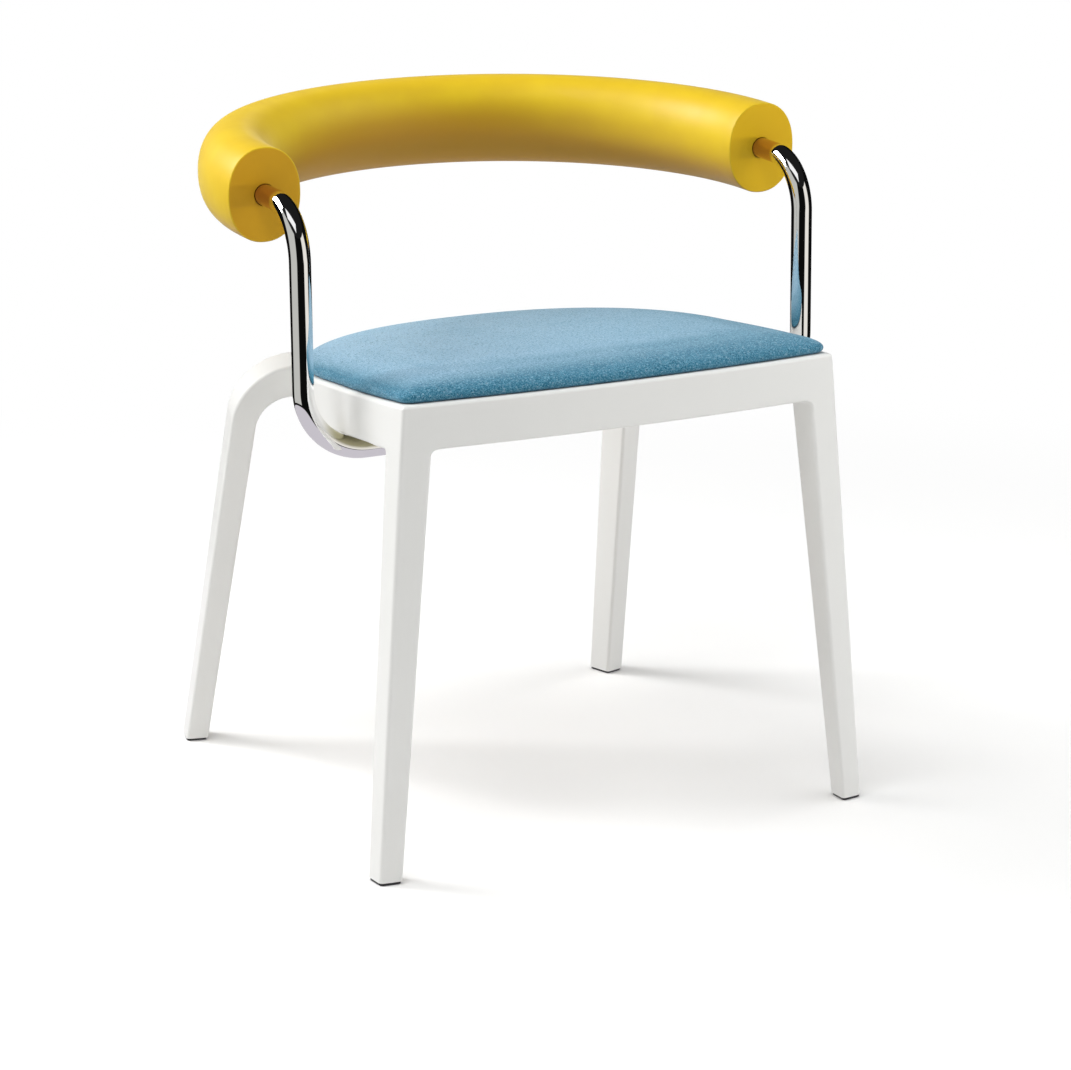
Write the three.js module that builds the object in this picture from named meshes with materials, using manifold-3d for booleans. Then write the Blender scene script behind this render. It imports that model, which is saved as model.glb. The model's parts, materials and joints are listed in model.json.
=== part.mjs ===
import * as THREE from "three";
import { mergeVertices } from "three/addons/utils/BufferGeometryUtils.js";
import Module from "manifold-3d";

// A rigid armchair. One white moulding is the seat ring and the four legs, a padded seat lies in the
// ring's recess, and one bent steel tube, bolted under the seat, is arms and back in one and carries a
// thick foam roll. Millimetres, +Z up, +X across the seat, the front faces -Y, and the origin is on the
// floor under the middle of the whole chair. A share is a plain ratio, all other values are lengths.

// Clearances shared by the whole chair
const seatedGap = 0.3;
const cutOverrun = 6;
const weldTolerance = 0.0005;

// The middle of a quarter round, and the levels of a hollow fillet, as shares of their radius
const roundMidShare = 0.3;
const filletShares = [[1, 0], [0.5, 0.13], [0.13, 0.5]];
const breakShare = 0.3;

// Seat ring in plan: a D with a bowed front rail, nearly straight sides and a round back
const frameHalfWidth = 223.4;
const frameFrontY = -265.7;
const frontBow = 16.5;
const sideBow = 2.8;
const backCentreY = -88.5;
const backDepth = 222.4;
const backPowerShare = 2.31;

// Seat ring in height: its top falls towards the back
const frameCornerTopZ = 443.9;
const seatSlopeShare = 0.072;
const ringHeight = 42.5;
const ringTopRound = 4;
const ringBottomRound = 2.2;
const legBlendFromFront = 57.7;
const legBlendLength = 36;

// Recess for the seat pad, the opening below it, and the beam left across that opening
const landWidth = 8.5;
const pocketDepth = 14;
const pocketCornerRadius = 10.5;
const openingInset = 50;
const openingCornerRadius = 24;
const beamY = -124;
const beamWidth = 62;

// Front legs: the outer front edge runs straight from the ring's top corner to the floor
const legEdgeRadius = 3.6;
const frontSplayX = 34.7;
const frontSplayY = 7;
const frontFootWidth = 22.2;
const frontFootDepth = 24;
const frontTopWidth = 29.4;
const frontTopDepth = 29.6;
const frontFootSlant = 1.2;
const frontTopSlant = 6.5;
const legFilletRadius = 6;

// Rear legs: a leaning plane holds a straight leg that bends into a shoulder and meets the ring
const rearSplayX = 16;
const rearSplayY = 96.4;
const rearTurnDegrees = 15.74;
const rearLeanShare = 0.2233;
const rearKneeInset = 53.5;
const rearKneeDrop = 51.6;
const rearShoulderReach = 180;
const rearShoulderRise = 6.5;
const rearBendRadius = 52;
const rearFootWidth = 22.2;
const rearFootDepth = 29;
const rearShankWidth = 25.2;
const rearShankDepth = 35;
const rearShoulderWidth = 34.5;
const rearShoulderDepth = 35;

// Foot glides
const glideHeight = 2.6;
const glideInset = 1;
const glideStemRadius = 3.5;
const glideStemLength = 14;

// Seat pad: board, foam and cover
const padGap = 0.6;
const padCornerRadius = 10.5;
const coverThickness = 1.2;
const hemWidth = 14;
const boardThickness = 10;
const padEdgeRise = 20.7;
const padCrownRise = 2.9;
const padSideDraw = 1.2;
const padSideBulge = 5.3;
const padBulgeHeight = 5.1;
const padEdgeShare = 0.3;
const padEdgePowerShare = 2;

// Seat board screws and tee nuts
const screwRadius = 3;
const screwHeadRadius = 5.6;
const screwHeadHeight = 3.6;
const screwKeyRadius = 2.2;
const screwKeyDepth = 2.2;
const screwCounterbore = 16;
const screwFrontFromSide = 103.4;
const screwFrontInset = 33;
const screwRearFromBack = 75.9;
const screwRearInset = 35.4;
const nutBarrelRadius = 4.3;
const nutFlangeRadius = 9;
const nutFlangeHeight = 1.4;

// Arm tube: chromed, bent from the two stubs under the seat to the horseshoe in the roll
const tubeRadius = 10;
const tubeWall = 2;
const armClearance = 30.6;
const stubOverhang = 4;
const lowerBendRadius = 60;
const upperBendRadius = 50;
const rollCentreY = -34.3;
const rollEndReach = 13.2;
const rollEndHeight = 606.1;
const rollSlopeShare = 0.032;

// Foam roll
const rollWidth = 72;
const rollHeight = 88.4;
const rollPowerShare = 2.2;

// Tube saddles, arm bolts, threaded inserts and end plugs
const saddleWidth = 30;
const saddleLength = 83;
const saddleSideInset = 36.4;
const saddleWeb = 4.4;
const saddleLap = 2;
const armBoltRadius = 3;
const armBoltHeadRadius = 5.2;
const armBoltHeadHeight = 3.4;
const armBoltKeyRadius = 2;
const armBoltKeyDepth = 2;
const armBoltEndDistance = 17.5;
const armBoltReach = 12;
const insertRadius = 4.6;
const insertLength = 14;
const plugHeadHeight = 2.4;
const plugStemLength = 12;
const plugEdgeRound = 0.8;

// How finely round shapes are cut
const bowSteps = 5;
const cornerSteps = 3;
const sideSteps = 6;
const backSteps = 10;
const bendSteps = 7;
const horseshoeSteps = 22;
const tubeSides = 18;
const boreSides = 10;
const rollSides = 26;
const smallSides = 14;
const keySides = 6;
const legCornerSteps = 2;

const wasm = await Module();
wasm.setup();

const whiteMoulding = new THREE.MeshStandardMaterial({ color: 0xf1f1ee, roughness: 0.35, metalness: 0 });
const blueFabric = new THREE.MeshStandardMaterial({ color: 0x6f9fbe, roughness: 0.95, metalness: 0 });
const yellowFoam = new THREE.MeshStandardMaterial({ color: 0xf2cf1f, roughness: 0.7, metalness: 0 });
const chrome = new THREE.MeshStandardMaterial({ color: 0xd8dadc, roughness: 0.06, metalness: 1 });
const darkNylon = new THREE.MeshStandardMaterial({ color: 0x26282a, roughness: 0.55, metalness: 0 });
const greyNylon = new THREE.MeshStandardMaterial({ color: 0x8b8e90, roughness: 0.5, metalness: 0 });
const plywood = new THREE.MeshStandardMaterial({ color: 0xb98d5a, roughness: 0.8, metalness: 0 });
const padFoam = new THREE.MeshStandardMaterial({ color: 0xe9e2c4, roughness: 0.95, metalness: 0 });
const zincSteel = new THREE.MeshStandardMaterial({ color: 0xa9adb0, roughness: 0.4, metalness: 1 });
const brass = new THREE.MeshStandardMaterial({ color: 0xb08d3c, roughness: 0.4, metalness: 1 });

// Places worked out from the sizes above
const frameCornerY = frameFrontY + frontBow;
const frameBackY = backCentreY + backDepth;
const rearFootX = frameHalfWidth + rearSplayX;
const rearFootY = frameBackY + rearSplayY;
const rearKneeHeight = (frameCornerTopZ - rearKneeDrop) * Math.hypot(1, rearLeanShare);
const tubeHalfSpan = frameHalfWidth + armClearance + tubeRadius;
const uprightY = beamY;
const rollEndY = rollCentreY - rollEndReach;
const saddleOuterX = frameHalfWidth - saddleSideInset;
const saddleInnerX = saddleOuterX - saddleLength;
const stubEndX = saddleInnerX - stubOverhang;

// Height of the ring's top plane at a place from front to back.
function topZ(y) {
  return frameCornerTopZ - seatSlopeShare * (y - frameCornerY);
}

// Runs smoothly from 0 at the start to 1 at the end.
function ease(value, start, end) {
  return THREE.MathUtils.smoothstep(value, start, end);
}

// A closed geometry as a solid that can be joined and cut.
function solid(geometry) {
  const bare = new THREE.BufferGeometry();
  bare.setAttribute("position", geometry.getAttribute("position"));
  bare.setIndex(geometry.getIndex());
  const merged = mergeVertices(bare, weldTolerance);
  const vertProperties = merged.getAttribute("position").array;
  const triVerts = new Uint32Array(merged.getIndex().array);
  return new wasm.Manifold(new wasm.Mesh({ numProp: 3, vertProperties, triVerts }));
}

function mesh(name, shape, material) {
  let geometry = shape;
  if (shape instanceof wasm.Manifold) {
    const cut = shape.getMesh();
    geometry = new THREE.BufferGeometry();
    geometry.setAttribute("position", new THREE.BufferAttribute(cut.vertProperties, cut.numProp));
    geometry.setIndex(new THREE.BufferAttribute(cut.triVerts, 1));
    geometry.computeVertexNormals();
  }
  const made = new THREE.Mesh(geometry, material);
  made.name = name;
  return made;
}

// Skin over a stack of loops with equally many points. Each loop runs anticlockwise as seen from the
// side that the stack grows towards, and the first and last loops are closed with flat caps.
function loft(loops) {
  const count = loops[0].length;
  const positions = loops.flat().flatMap((point) => point.toArray());
  const index = [];
  for (let ring = 0; ring + 1 < loops.length; ring++) {
    for (let i = 0; i < count; i++) {
      const a = ring * count + i;
      const b = ring * count + ((i + 1) % count);
      index.push(a, b, b + count, a, b + count, a + count);
    }
  }
  const last = (loops.length - 1) * count;
  for (const [p, q, r] of capTriangles(loops[0])) index.push(q, p, r);
  for (const [p, q, r] of capTriangles(loops[loops.length - 1])) index.push(last + p, last + q, last + r);
  const geometry = new THREE.BufferGeometry();
  geometry.setAttribute("position", new THREE.Float32BufferAttribute(positions, 3));
  geometry.setIndex(index);
  geometry.computeVertexNormals();
  return geometry;
}

// Triangles over a flat loop, turned the way that the loop runs.
function capTriangles(loop) {
  const normal = new THREE.Vector3();
  const edge = new THREE.Vector3();
  loop.forEach((point, i) => {
    edge.crossVectors(point, loop[(i + 1) % loop.length]);
    normal.add(edge);
  });
  normal.normalize();
  const across = loop[1].clone().sub(loop[0]).normalize();
  const up = new THREE.Vector3().crossVectors(normal, across);
  const flat = loop.map((point) => new THREE.Vector2(point.dot(across), point.dot(up)));
  return THREE.ShapeUtils.triangulateShape(flat, []);
}

// A rod along Z between two heights, for holes and shanks.
function rod(radius, x, y, lowZ, highZ, sides = smallSides) {
  const geometry = new THREE.CylinderGeometry(radius, radius, highZ - lowZ, sides);
  geometry.rotateX(Math.PI / 2);
  geometry.translate(x, y, (lowZ + highZ) / 2);
  return geometry;
}

// A body turned about Z from a profile of [radius, height] pairs that starts and ends on the axis.
function turned(profile, sides = smallSides) {
  const points = profile.map(([radius, height]) => new THREE.Vector2(radius, height));
  return new THREE.LatheGeometry(points, sides).rotateX(Math.PI / 2);
}

// Places on a path: straights between points, with a round bend of a given radius at each inner point.
function bentPath(points, radii, steps) {
  const places = [{ point: points[0], along: points[1].clone().sub(points[0]).normalize() }];
  for (let i = 1; i + 1 < points.length; i++) {
    const into = points[i].clone().sub(points[i - 1]).normalize();
    const out = points[i + 1].clone().sub(points[i]).normalize();
    const axis = new THREE.Vector3().crossVectors(into, out).normalize();
    const angle = into.angleTo(out);
    const setback = radii[i - 1] * Math.tan(angle / 2);
    const start = points[i].clone().addScaledVector(into, -setback);
    const towards = new THREE.Vector3().crossVectors(axis, into);
    const centre = start.clone().addScaledVector(towards, radii[i - 1]);
    for (let k = 0; k <= steps; k++) {
      const turn = (angle * k) / steps;
      const arm = start.clone().sub(centre).applyAxisAngle(axis, turn);
      places.push({ point: centre.clone().add(arm), along: into.clone().applyAxisAngle(axis, turn) });
    }
  }
  const last = points[points.length - 1];
  places.push({ point: last, along: last.clone().sub(points[points.length - 2]).normalize() });
  return places;
}

// A curve that an extrusion follows with one ring at each of its places.
class StationedPath extends THREE.Curve {
  constructor(places) {
    super();
    this.places = places;
    this.steps = places.length - 1;
  }
  placeAt(share) {
    return this.places[Math.round(share * this.steps)];
  }
  getPointAt(share) {
    return this.placeAt(share).point.clone();
  }
  getTangentAt(share) {
    return this.placeAt(share).along.clone();
  }
}

function alongPath(shape, places) {
  const extrudePath = new StationedPath(places);
  return new THREE.ExtrudeGeometry(shape, { steps: extrudePath.steps, extrudePath });
}

// A regular outline of the D in plan, drawn in by an inset, anticlockwise from the middle of the front.
function seatOutline(inset, cornerRadius) {
  const halfWidth = frameHalfWidth - inset;
  const frontY = frameFrontY + inset;
  const cornerY = frontY + frontBow;
  const half = [];
  const bowAt = (x) => new THREE.Vector2(x, frontY + frontBow * (x / halfWidth) ** 2);
  const sideAt = (y) => {
    const share = (y - cornerY) / (backCentreY - cornerY);
    return new THREE.Vector2(halfWidth + sideBow * Math.sin(Math.PI * share), y);
  };
  const bowEnd = bowAt(halfWidth - cornerRadius);
  const sideStart = sideAt(cornerY + cornerRadius);
  for (let i = 0; i < bowSteps; i++) half.push(bowAt((bowEnd.x * i) / bowSteps));
  const corner = new THREE.QuadraticBezierCurve(bowEnd, new THREE.Vector2(halfWidth, cornerY), sideStart);
  half.push(...corner.getPoints(cornerSteps));
  for (let i = 1; i < sideSteps; i++) {
    half.push(sideAt(THREE.MathUtils.lerp(sideStart.y, backCentreY, i / sideSteps)));
  }
  for (let i = 0; i <= backSteps; i++) {
    const angle = ((Math.PI / 2) * i) / backSteps;
    const power = 2 / backPowerShare;
    const across = Math.max(Math.cos(angle), 0) ** power;
    const back = Math.sin(angle) ** power;
    const x = i === backSteps ? 0 : halfWidth * across;
    half.push(new THREE.Vector2(x, backCentreY + (backDepth - inset) * back));
  }
  const mirrored = half.slice(1, -1).reverse();
  return [...half, ...mirrored.map((point) => new THREE.Vector2(-point.x, point.y))];
}

// A loop of plan points laid at a drop below the ring's sloping top.
function laid(points, drop) {
  return points.map((point) => new THREE.Vector3(point.x, point.y, topZ(point.y) - drop));
}

function slab(points, topDrop, bottomDrop) {
  return loft([laid(points, bottomDrop), laid(points, topDrop)]);
}

function rectangle(x, y, halfWidth, halfDepth) {
  return [
    new THREE.Vector2(x - halfWidth, y - halfDepth),
    new THREE.Vector2(x + halfWidth, y - halfDepth),
    new THREE.Vector2(x + halfWidth, y + halfDepth),
    new THREE.Vector2(x - halfWidth, y + halfDepth),
  ];
}

// How far the outer front edge of a front leg leans out and forward at a drop below the ring's top.
const frontLeanX = frontSplayX / frameCornerTopZ;
const frontLeanY = -frontSplayY / frameCornerTopZ;

// The ring's outside at a drop. Near its front corners it leans with the legs.
function ringLoop(inset, drop) {
  const leg = frameHalfWidth - frontTopWidth;
  const blendStart = frameFrontY + legBlendFromFront;
  const points = seatOutline(inset, legEdgeRadius).map((point) => {
    const nearLeg = ease(Math.abs(point.x), leg - frontTopWidth, leg);
    const lean = drop * nearLeg * (1 - ease(point.y, blendStart, blendStart + legBlendLength));
    return new THREE.Vector2(point.x + Math.sign(point.x) * frontLeanX * lean, point.y + frontLeanY * lean);
  });
  return laid(points, drop);
}

function ringSlab() {
  const loops = [
    ringLoop(ringBottomRound, ringHeight),
    ringLoop(ringBottomRound * roundMidShare, ringHeight - ringBottomRound * roundMidShare),
    ringLoop(0, ringHeight - ringBottomRound),
    ringLoop(0, ringHeight / 2),
    ringLoop(0, ringTopRound),
    ringLoop(ringTopRound * roundMidShare, ringTopRound * roundMidShare),
    ringLoop(ringTopRound, 0),
  ];
  return loft(loops);
}

// Four rounded corners of a section, as points in its own plane round its middle.
function roundedSection(width, depth, radius) {
  const points = [];
  const corners = [[1, 1, 0], [-1, 1, 1], [-1, -1, 2], [1, -1, 3]];
  for (const [sx, sy, quarter] of corners) {
    for (let k = 0; k <= legCornerSteps; k++) {
      const angle = (Math.PI / 2) * (quarter + k / legCornerSteps);
      const x = sx * (width / 2 - radius) + radius * Math.cos(angle);
      const y = sy * (depth / 2 - radius) + radius * Math.sin(angle);
      points.push(new THREE.Vector2(x, y));
    }
  }
  return points;
}

// The front rail's bowed face and the side's face run on into the faces of a front leg, so the leg's
// section is sheared to the slopes that the ring's outline has at its front corner.
const frontFaceShare = (2 * frontBow * (frameHalfWidth - frontTopWidth / 2)) / frameHalfWidth ** 2;
const sideFaceShare = (Math.PI * sideBow) / (backCentreY - frameCornerY);

// Its inner face slants, so that the leg is wider at its back by the slant.
function frontSection(side, width, depth, radius, slant) {
  const points = roundedSection(width, depth, radius).map((p) => {
    const inner = (width / 2 - p.x) / width;
    const behind = (depth / 2 + p.y) / depth;
    const x = p.x + sideFaceShare * p.y - slant * inner * behind;
    return new THREE.Vector2(side * x, p.y + frontFaceShare * p.x);
  });
  return side < 0 ? points.reverse() : points;
}

// Middle and size of a front leg's section at a height, grown inwards and backwards.
function frontLegAt(z, grown = 0) {
  const drop = frameCornerTopZ - z;
  const share = z / (frameCornerTopZ - ringHeight);
  const width = THREE.MathUtils.lerp(frontFootWidth, frontTopWidth, share) + grown;
  const depth = THREE.MathUtils.lerp(frontFootDepth, frontTopDepth, share) + grown;
  const slant = THREE.MathUtils.lerp(frontFootSlant, frontTopSlant, share);
  const outerX = frameHalfWidth + frontLeanX * drop;
  const frontY = frameCornerY + frontLeanY * drop;
  const x = outerX - width / 2 + (sideFaceShare * depth) / 2;
  const y = frontY + depth / 2 - (frontFaceShare * width) / 2;
  return { x, y, width, depth, slant };
}

function frontLeg(side) {
  const railZ = frameCornerTopZ - ringHeight;
  const topLegZ = frameCornerTopZ - ringHeight / 2;
  const loop = (z, grown, sunk) => {
    const at = frontLegAt(z, grown);
    const width = at.width - 2 * sunk;
    const depth = at.depth - 2 * sunk;
    const section = frontSection(side, width, depth, legEdgeRadius, at.slant);
    return section.map((p) => new THREE.Vector3(side * at.x + p.x, at.y + p.y, z));
  };
  return loft([
    loop(glideHeight + seatedGap, 0, 0),
    ...filletShares.map(([below, grown]) =>
      loop(railZ - legFilletRadius * below, legFilletRadius * grown, 0),
    ),
    loop(railZ + ringBottomRound, legFilletRadius, 0),
    loop(topLegZ, legFilletRadius, ringBottomRound / 2),
  ]);
}

// The rear leg's leaning plane: inward runs level towards the seat, rise runs up the leg.
function rearPlane(side) {
  const turn = THREE.MathUtils.degToRad(rearTurnDegrees);
  const foot = new THREE.Vector3(side * rearFootX, rearFootY, 0);
  const inward = new THREE.Vector3(-side * Math.cos(turn), -Math.sin(turn), 0);
  const forward = new THREE.Vector3(side * Math.sin(turn), -Math.cos(turn), 0);
  const rise = forward.clone().multiplyScalar(rearLeanShare).add(new THREE.Vector3(0, 0, 1)).normalize();
  const normal = new THREE.Vector3().crossVectors(inward, rise);
  return { foot, inward, rise, normal };
}

function rearLeg(side) {
  const { foot, inward, rise, normal } = rearPlane(side);
  const at = (reach, height) => foot.clone().addScaledVector(inward, reach).addScaledVector(rise, height);
  const below = cutOverrun * 2;
  const knee = at(rearKneeInset, rearKneeHeight);
  const shank = knee.clone().sub(foot).normalize();
  const points = [
    foot.clone().addScaledVector(shank, -below),
    knee,
    at(rearShoulderReach, rearKneeHeight + rearShoulderRise),
  ];
  const places = bentPath(points, [rearBendRadius], bendSteps);
  const bend = places.length - 3;
  const loops = places.map(({ point, along }, i) => {
    const turnShare = THREE.MathUtils.clamp((i - 1) / bend, 0, 1);
    const first = i === 0;
    const width = first ? rearFootWidth : THREE.MathUtils.lerp(rearShankWidth, rearShoulderWidth, turnShare);
    const depth = first ? rearFootDepth : THREE.MathUtils.lerp(rearShankDepth, rearShoulderDepth, turnShare);
    const across = new THREE.Vector3().crossVectors(normal, along);
    const section = roundedSection(width, depth, legEdgeRadius);
    return section.map((p) => point.clone().addScaledVector(across, p.x).addScaledVector(normal, p.y));
  });
  return loft(loops);
}

function rearFootAt(z, side) {
  const { foot, inward, rise } = rearPlane(side);
  const height = z / rise.z;
  const reach = (rearKneeInset * height) / rearKneeHeight;
  return foot.clone().addScaledVector(inward, reach).addScaledVector(rise, height);
}

const sides = [[1, "right"], [-1, "left"]];

// Half the ring's width at a place in its round back.
function backHalfWidthAt(y) {
  const back = ((y - backCentreY) / backDepth) ** backPowerShare;
  return frameHalfWidth * (1 - back) ** (1 / backPowerShare);
}

// Seat board screws: two through the front rail's ledge and two through the side ledges.
const boardScrews = sides.flatMap(([side, word]) => {
  const frontX = frameHalfWidth - screwFrontFromSide;
  const frontY = frameFrontY + frontBow * (frontX / frameHalfWidth) ** 2 + screwFrontInset;
  const rearY = frameBackY - screwRearFromBack;
  const rearX = backHalfWidthAt(rearY) - screwRearInset;
  return [
    { name: `front_${word}`, x: side * frontX, y: frontY },
    { name: `rear_${word}`, x: side * rearX, y: rearY },
  ];
});

const armBolts = sides.flatMap(([side, word]) => [
  { name: `${word}_outer`, x: side * (saddleOuterX - armBoltEndDistance), y: uprightY },
  { name: `${word}_inner`, x: side * (saddleInnerX + armBoltEndDistance), y: uprightY },
]);

// Each glide's place, and its outline at an inset from the leg's end.
const glideRadius = legEdgeRadius - glideInset;
const glideFeet = sides.flatMap(([side, word]) => {
  const front = frontLegAt(0);
  const rear = rearFootAt(0, side);
  const turn = side * THREE.MathUtils.degToRad(rearTurnDegrees);
  const frontOutline = (inset) => {
    const width = frontFootWidth - 2 * inset;
    return frontSection(side, width, frontFootDepth - 2 * inset, glideRadius, frontFootSlant);
  };
  const rearOutline = (inset) =>
    roundedSection(rearFootWidth - 2 * inset, rearFootDepth - 2 * inset, glideRadius).map((point) =>
      point.rotateAround(new THREE.Vector2(), turn),
    );
  return [
    { name: `front_${word}`, x: side * front.x, y: front.y, outline: frontOutline },
    { name: `rear_${word}`, x: rear.x, y: rear.y, outline: rearOutline },
  ];
});

const undersideZ = (y) => topZ(y) - ringHeight;
const stubHeight = undersideZ(uprightY) - saddleWeb - tubeRadius;
const screwSeatZ = (y) => undersideZ(y) + screwCounterbore;

function seatFrame() {
  let body = solid(ringSlab());
  for (const [side] of sides) body = body.add(solid(frontLeg(side))).add(solid(rearLeg(side)));

  const floor = new THREE.BoxGeometry(frameHalfWidth * 4, frameHalfWidth * 4, frameHalfWidth);
  floor.translate(0, 0, glideHeight + seatedGap - frameHalfWidth / 2);
  body = body.subtract(solid(floor));

  const pocket = slab(seatOutline(landWidth, pocketCornerRadius), -cutOverrun, pocketDepth);
  body = body.subtract(solid(pocket));

  const opening = slab(seatOutline(openingInset, openingCornerRadius), 0, ringHeight + cutOverrun);
  const beamBlank = rectangle(0, beamY, frameHalfWidth, beamWidth / 2);
  const beam = slab(beamBlank, -cutOverrun, ringHeight + cutOverrun * 2);
  body = body.subtract(solid(opening).subtract(solid(beam)));

  for (const { x, y } of boardScrews) {
    const seat = screwSeatZ(y);
    const shank = rod(screwRadius + seatedGap, x, y, undersideZ(y) - cutOverrun, topZ(y));
    const head = rod(screwHeadRadius + seatedGap, x, y, undersideZ(y) - cutOverrun, seat);
    body = body.subtract(solid(shank)).subtract(solid(head));
  }
  for (const { x, y } of armBolts) {
    const top = undersideZ(y) + insertLength + seatedGap * 2;
    body = body.subtract(solid(rod(insertRadius + seatedGap, x, y, undersideZ(y) - cutOverrun, top)));
  }
  for (const { x, y } of glideFeet) {
    const top = glideHeight + glideStemLength + seatedGap * 2;
    body = body.subtract(solid(rod(glideStemRadius + seatedGap, x, y, -cutOverrun, top)));
  }
  return body;
}

function footGlide({ x, y, outline }) {
  const edge = glideHeight * breakShare;
  const loop = (inset, z) => outline(inset).map((p) => new THREE.Vector3(x + p.x, y + p.y, z));
  const pad = loft([loop(glideInset + edge, 0), loop(glideInset, edge), loop(glideInset, glideHeight)]);
  const stem = rod(glideStemRadius, x, y, glideHeight / 2, glideHeight + glideStemLength);
  return solid(pad).add(solid(stem));
}

// Seat pad. Its loops are the pad's outline drawn in towards its middle by a share of the way.
const padInset = landWidth + padGap;
const padHalfWidth = frameHalfWidth - padInset;
const padFrontY = frameFrontY + padInset;
const padBackY = frameBackY - padInset;
const padMiddleY = (padFrontY + padBackY) / 2;

function padLoop(share, height) {
  const above = ease(height, 0, padEdgeRise);
  const points = seatOutline(padInset, padCornerRadius).map((point) => {
    const side = 1 - Math.abs((2 * (point.y - padMiddleY)) / (padBackY - padFrontY)) ** 2;
    const front = point.y < frameCornerY + padInset ? 1 - (point.x / padHalfWidth) ** 2 : 0;
    const draw = padSideDraw * above * Math.max(side * ease(Math.abs(point.x), 0, padHalfWidth), front);
    const keep = (1 - share) * (1 - draw / padHalfWidth);
    return new THREE.Vector2(point.x * keep, padMiddleY + (point.y - padMiddleY) * keep);
  });
  return laid(points, -height);
}

// Height of the pad's top over the ring's top plane, at a share of the way from the bulge of its side
// to its middle.
function padRise(share) {
  const edge = 1 - Math.min(share / padEdgeShare, 1);
  const rounded = (1 - edge ** padEdgePowerShare) ** (1 / padEdgePowerShare);
  const side = padBulgeHeight + (padEdgeRise - padBulgeHeight) * rounded;
  return side + padCrownRise * (1 - (1 - share) ** 2);
}

const padFloor = -pocketDepth + seatedGap;
const outerShares = [0, 0.006, 0.025, 0.06, 0.11, 0.2, 0.36, 0.6, 0.9];
const innerShares = [0.9, 0.36, 0.2, 0.06];
const bulgeShare = padSideBulge / padHalfWidth;
const coverShare = coverThickness / padHalfWidth;
const gapShare = seatedGap / padHalfWidth;

function seatCover() {
  const loops = [];
  for (const share of innerShares) loops.push(padLoop(share + coverShare, padRise(share) - coverThickness));
  const hemTop = padFloor + coverThickness;
  const hemShare = hemWidth / padHalfWidth;
  loops.push(padLoop(coverShare, padBulgeHeight));
  loops.push(padLoop(coverShare, hemTop));
  loops.push(padLoop(hemShare, hemTop));
  loops.push(padLoop(hemShare, padFloor));
  loops.push(padLoop(coverShare, padFloor));
  loops.push(padLoop(0, padFloor + coverThickness / 2));
  loops.push(padLoop(0, 0));
  loops.push(padLoop(-bulgeShare * (1 - roundMidShare), padBulgeHeight * roundMidShare));
  for (const share of outerShares) loops.push(padLoop(share - bulgeShare, padRise(share)));
  return loft(loops);
}

const boardBottom = padFloor + coverThickness + seatedGap;
const boardTop = boardBottom + boardThickness;
const liningShare = coverShare + gapShare;
const nutSink = seatedGap + seatSlopeShare * nutFlangeRadius;

function seatFoam() {
  const loops = [
    padLoop(liningShare, boardTop + seatedGap),
    padLoop(liningShare, padBulgeHeight - seatedGap),
  ];
  const lowered = coverThickness + seatedGap;
  for (const share of innerShares.toReversed()) {
    loops.push(padLoop(share + liningShare, padRise(share) - lowered));
  }
  return loft(loops);
}

function seatBoard() {
  let board = solid(loft([padLoop(liningShare, boardBottom), padLoop(liningShare, boardTop)]));
  for (const { x, y } of boardScrews) {
    const top = topZ(y) + boardTop;
    const barrel = rod(nutBarrelRadius + seatedGap, x, y, top - boardThickness * 2, top + cutOverrun);
    const flangeZ = top - nutSink - nutFlangeHeight - seatedGap;
    const flange = rod(nutFlangeRadius + seatedGap, x, y, flangeZ, top + cutOverrun);
    board = board.subtract(solid(barrel)).subtract(solid(flange));
  }
  return board;
}

// A screw that stands on its head: the head below the seat face, the shank above it.
function machineScrew({ radius, headRadius, headHeight, keyRadius, keyDepth }, length) {
  const edge = headHeight * breakShare;
  const tip = radius * breakShare;
  const profile = [
    [0, -headHeight],
    [headRadius - edge, -headHeight],
    [headRadius, -headHeight + edge],
    [headRadius, 0],
    [radius, 0],
    [radius, length - tip],
    [radius - tip, length],
    [0, length],
  ];
  const key = rod(keyRadius, 0, 0, -headHeight - cutOverrun, -headHeight + keyDepth, keySides);
  return solid(turned(profile)).subtract(solid(key));
}

function boardScrew(y) {
  const tip = topZ(y) + boardTop - nutSink - nutFlangeHeight;
  const kind = {
    radius: screwRadius,
    headRadius: screwHeadRadius,
    headHeight: screwHeadHeight,
    keyRadius: screwKeyRadius,
    keyDepth: screwKeyDepth,
  };
  return machineScrew(kind, tip - screwSeatZ(y) + seatedGap);
}

function teeNut() {
  const top = boardThickness - nutSink;
  const barrel = turned([
    [0, 0],
    [nutBarrelRadius, 0],
    [nutBarrelRadius, top - nutFlangeHeight],
    [nutFlangeRadius, top - nutFlangeHeight],
    [nutFlangeRadius, top],
    [0, top],
  ]);
  const bore = rod(screwRadius + seatedGap, 0, 0, -cutOverrun, boardThickness + cutOverrun);
  return solid(barrel).subtract(solid(bore));
}

// The tube's line: level stubs under the seat, upright arms, then a horseshoe that climbs to the back.
const armHeightAt = (y) => rollEndHeight + rollSlopeShare * (y - rollEndY);

function horseshoe() {
  const places = [];
  for (let i = 0; i <= horseshoeSteps; i++) {
    const angle = (Math.PI * i) / horseshoeSteps;
    const x = -tubeHalfSpan * Math.cos(angle);
    const y = rollCentreY + tubeHalfSpan * Math.sin(angle);
    const run = new THREE.Vector3(Math.sin(angle), Math.cos(angle), rollSlopeShare * Math.cos(angle));
    places.push({ point: new THREE.Vector3(x, y, armHeightAt(y)), along: run.normalize() });
  }
  return places;
}

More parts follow.
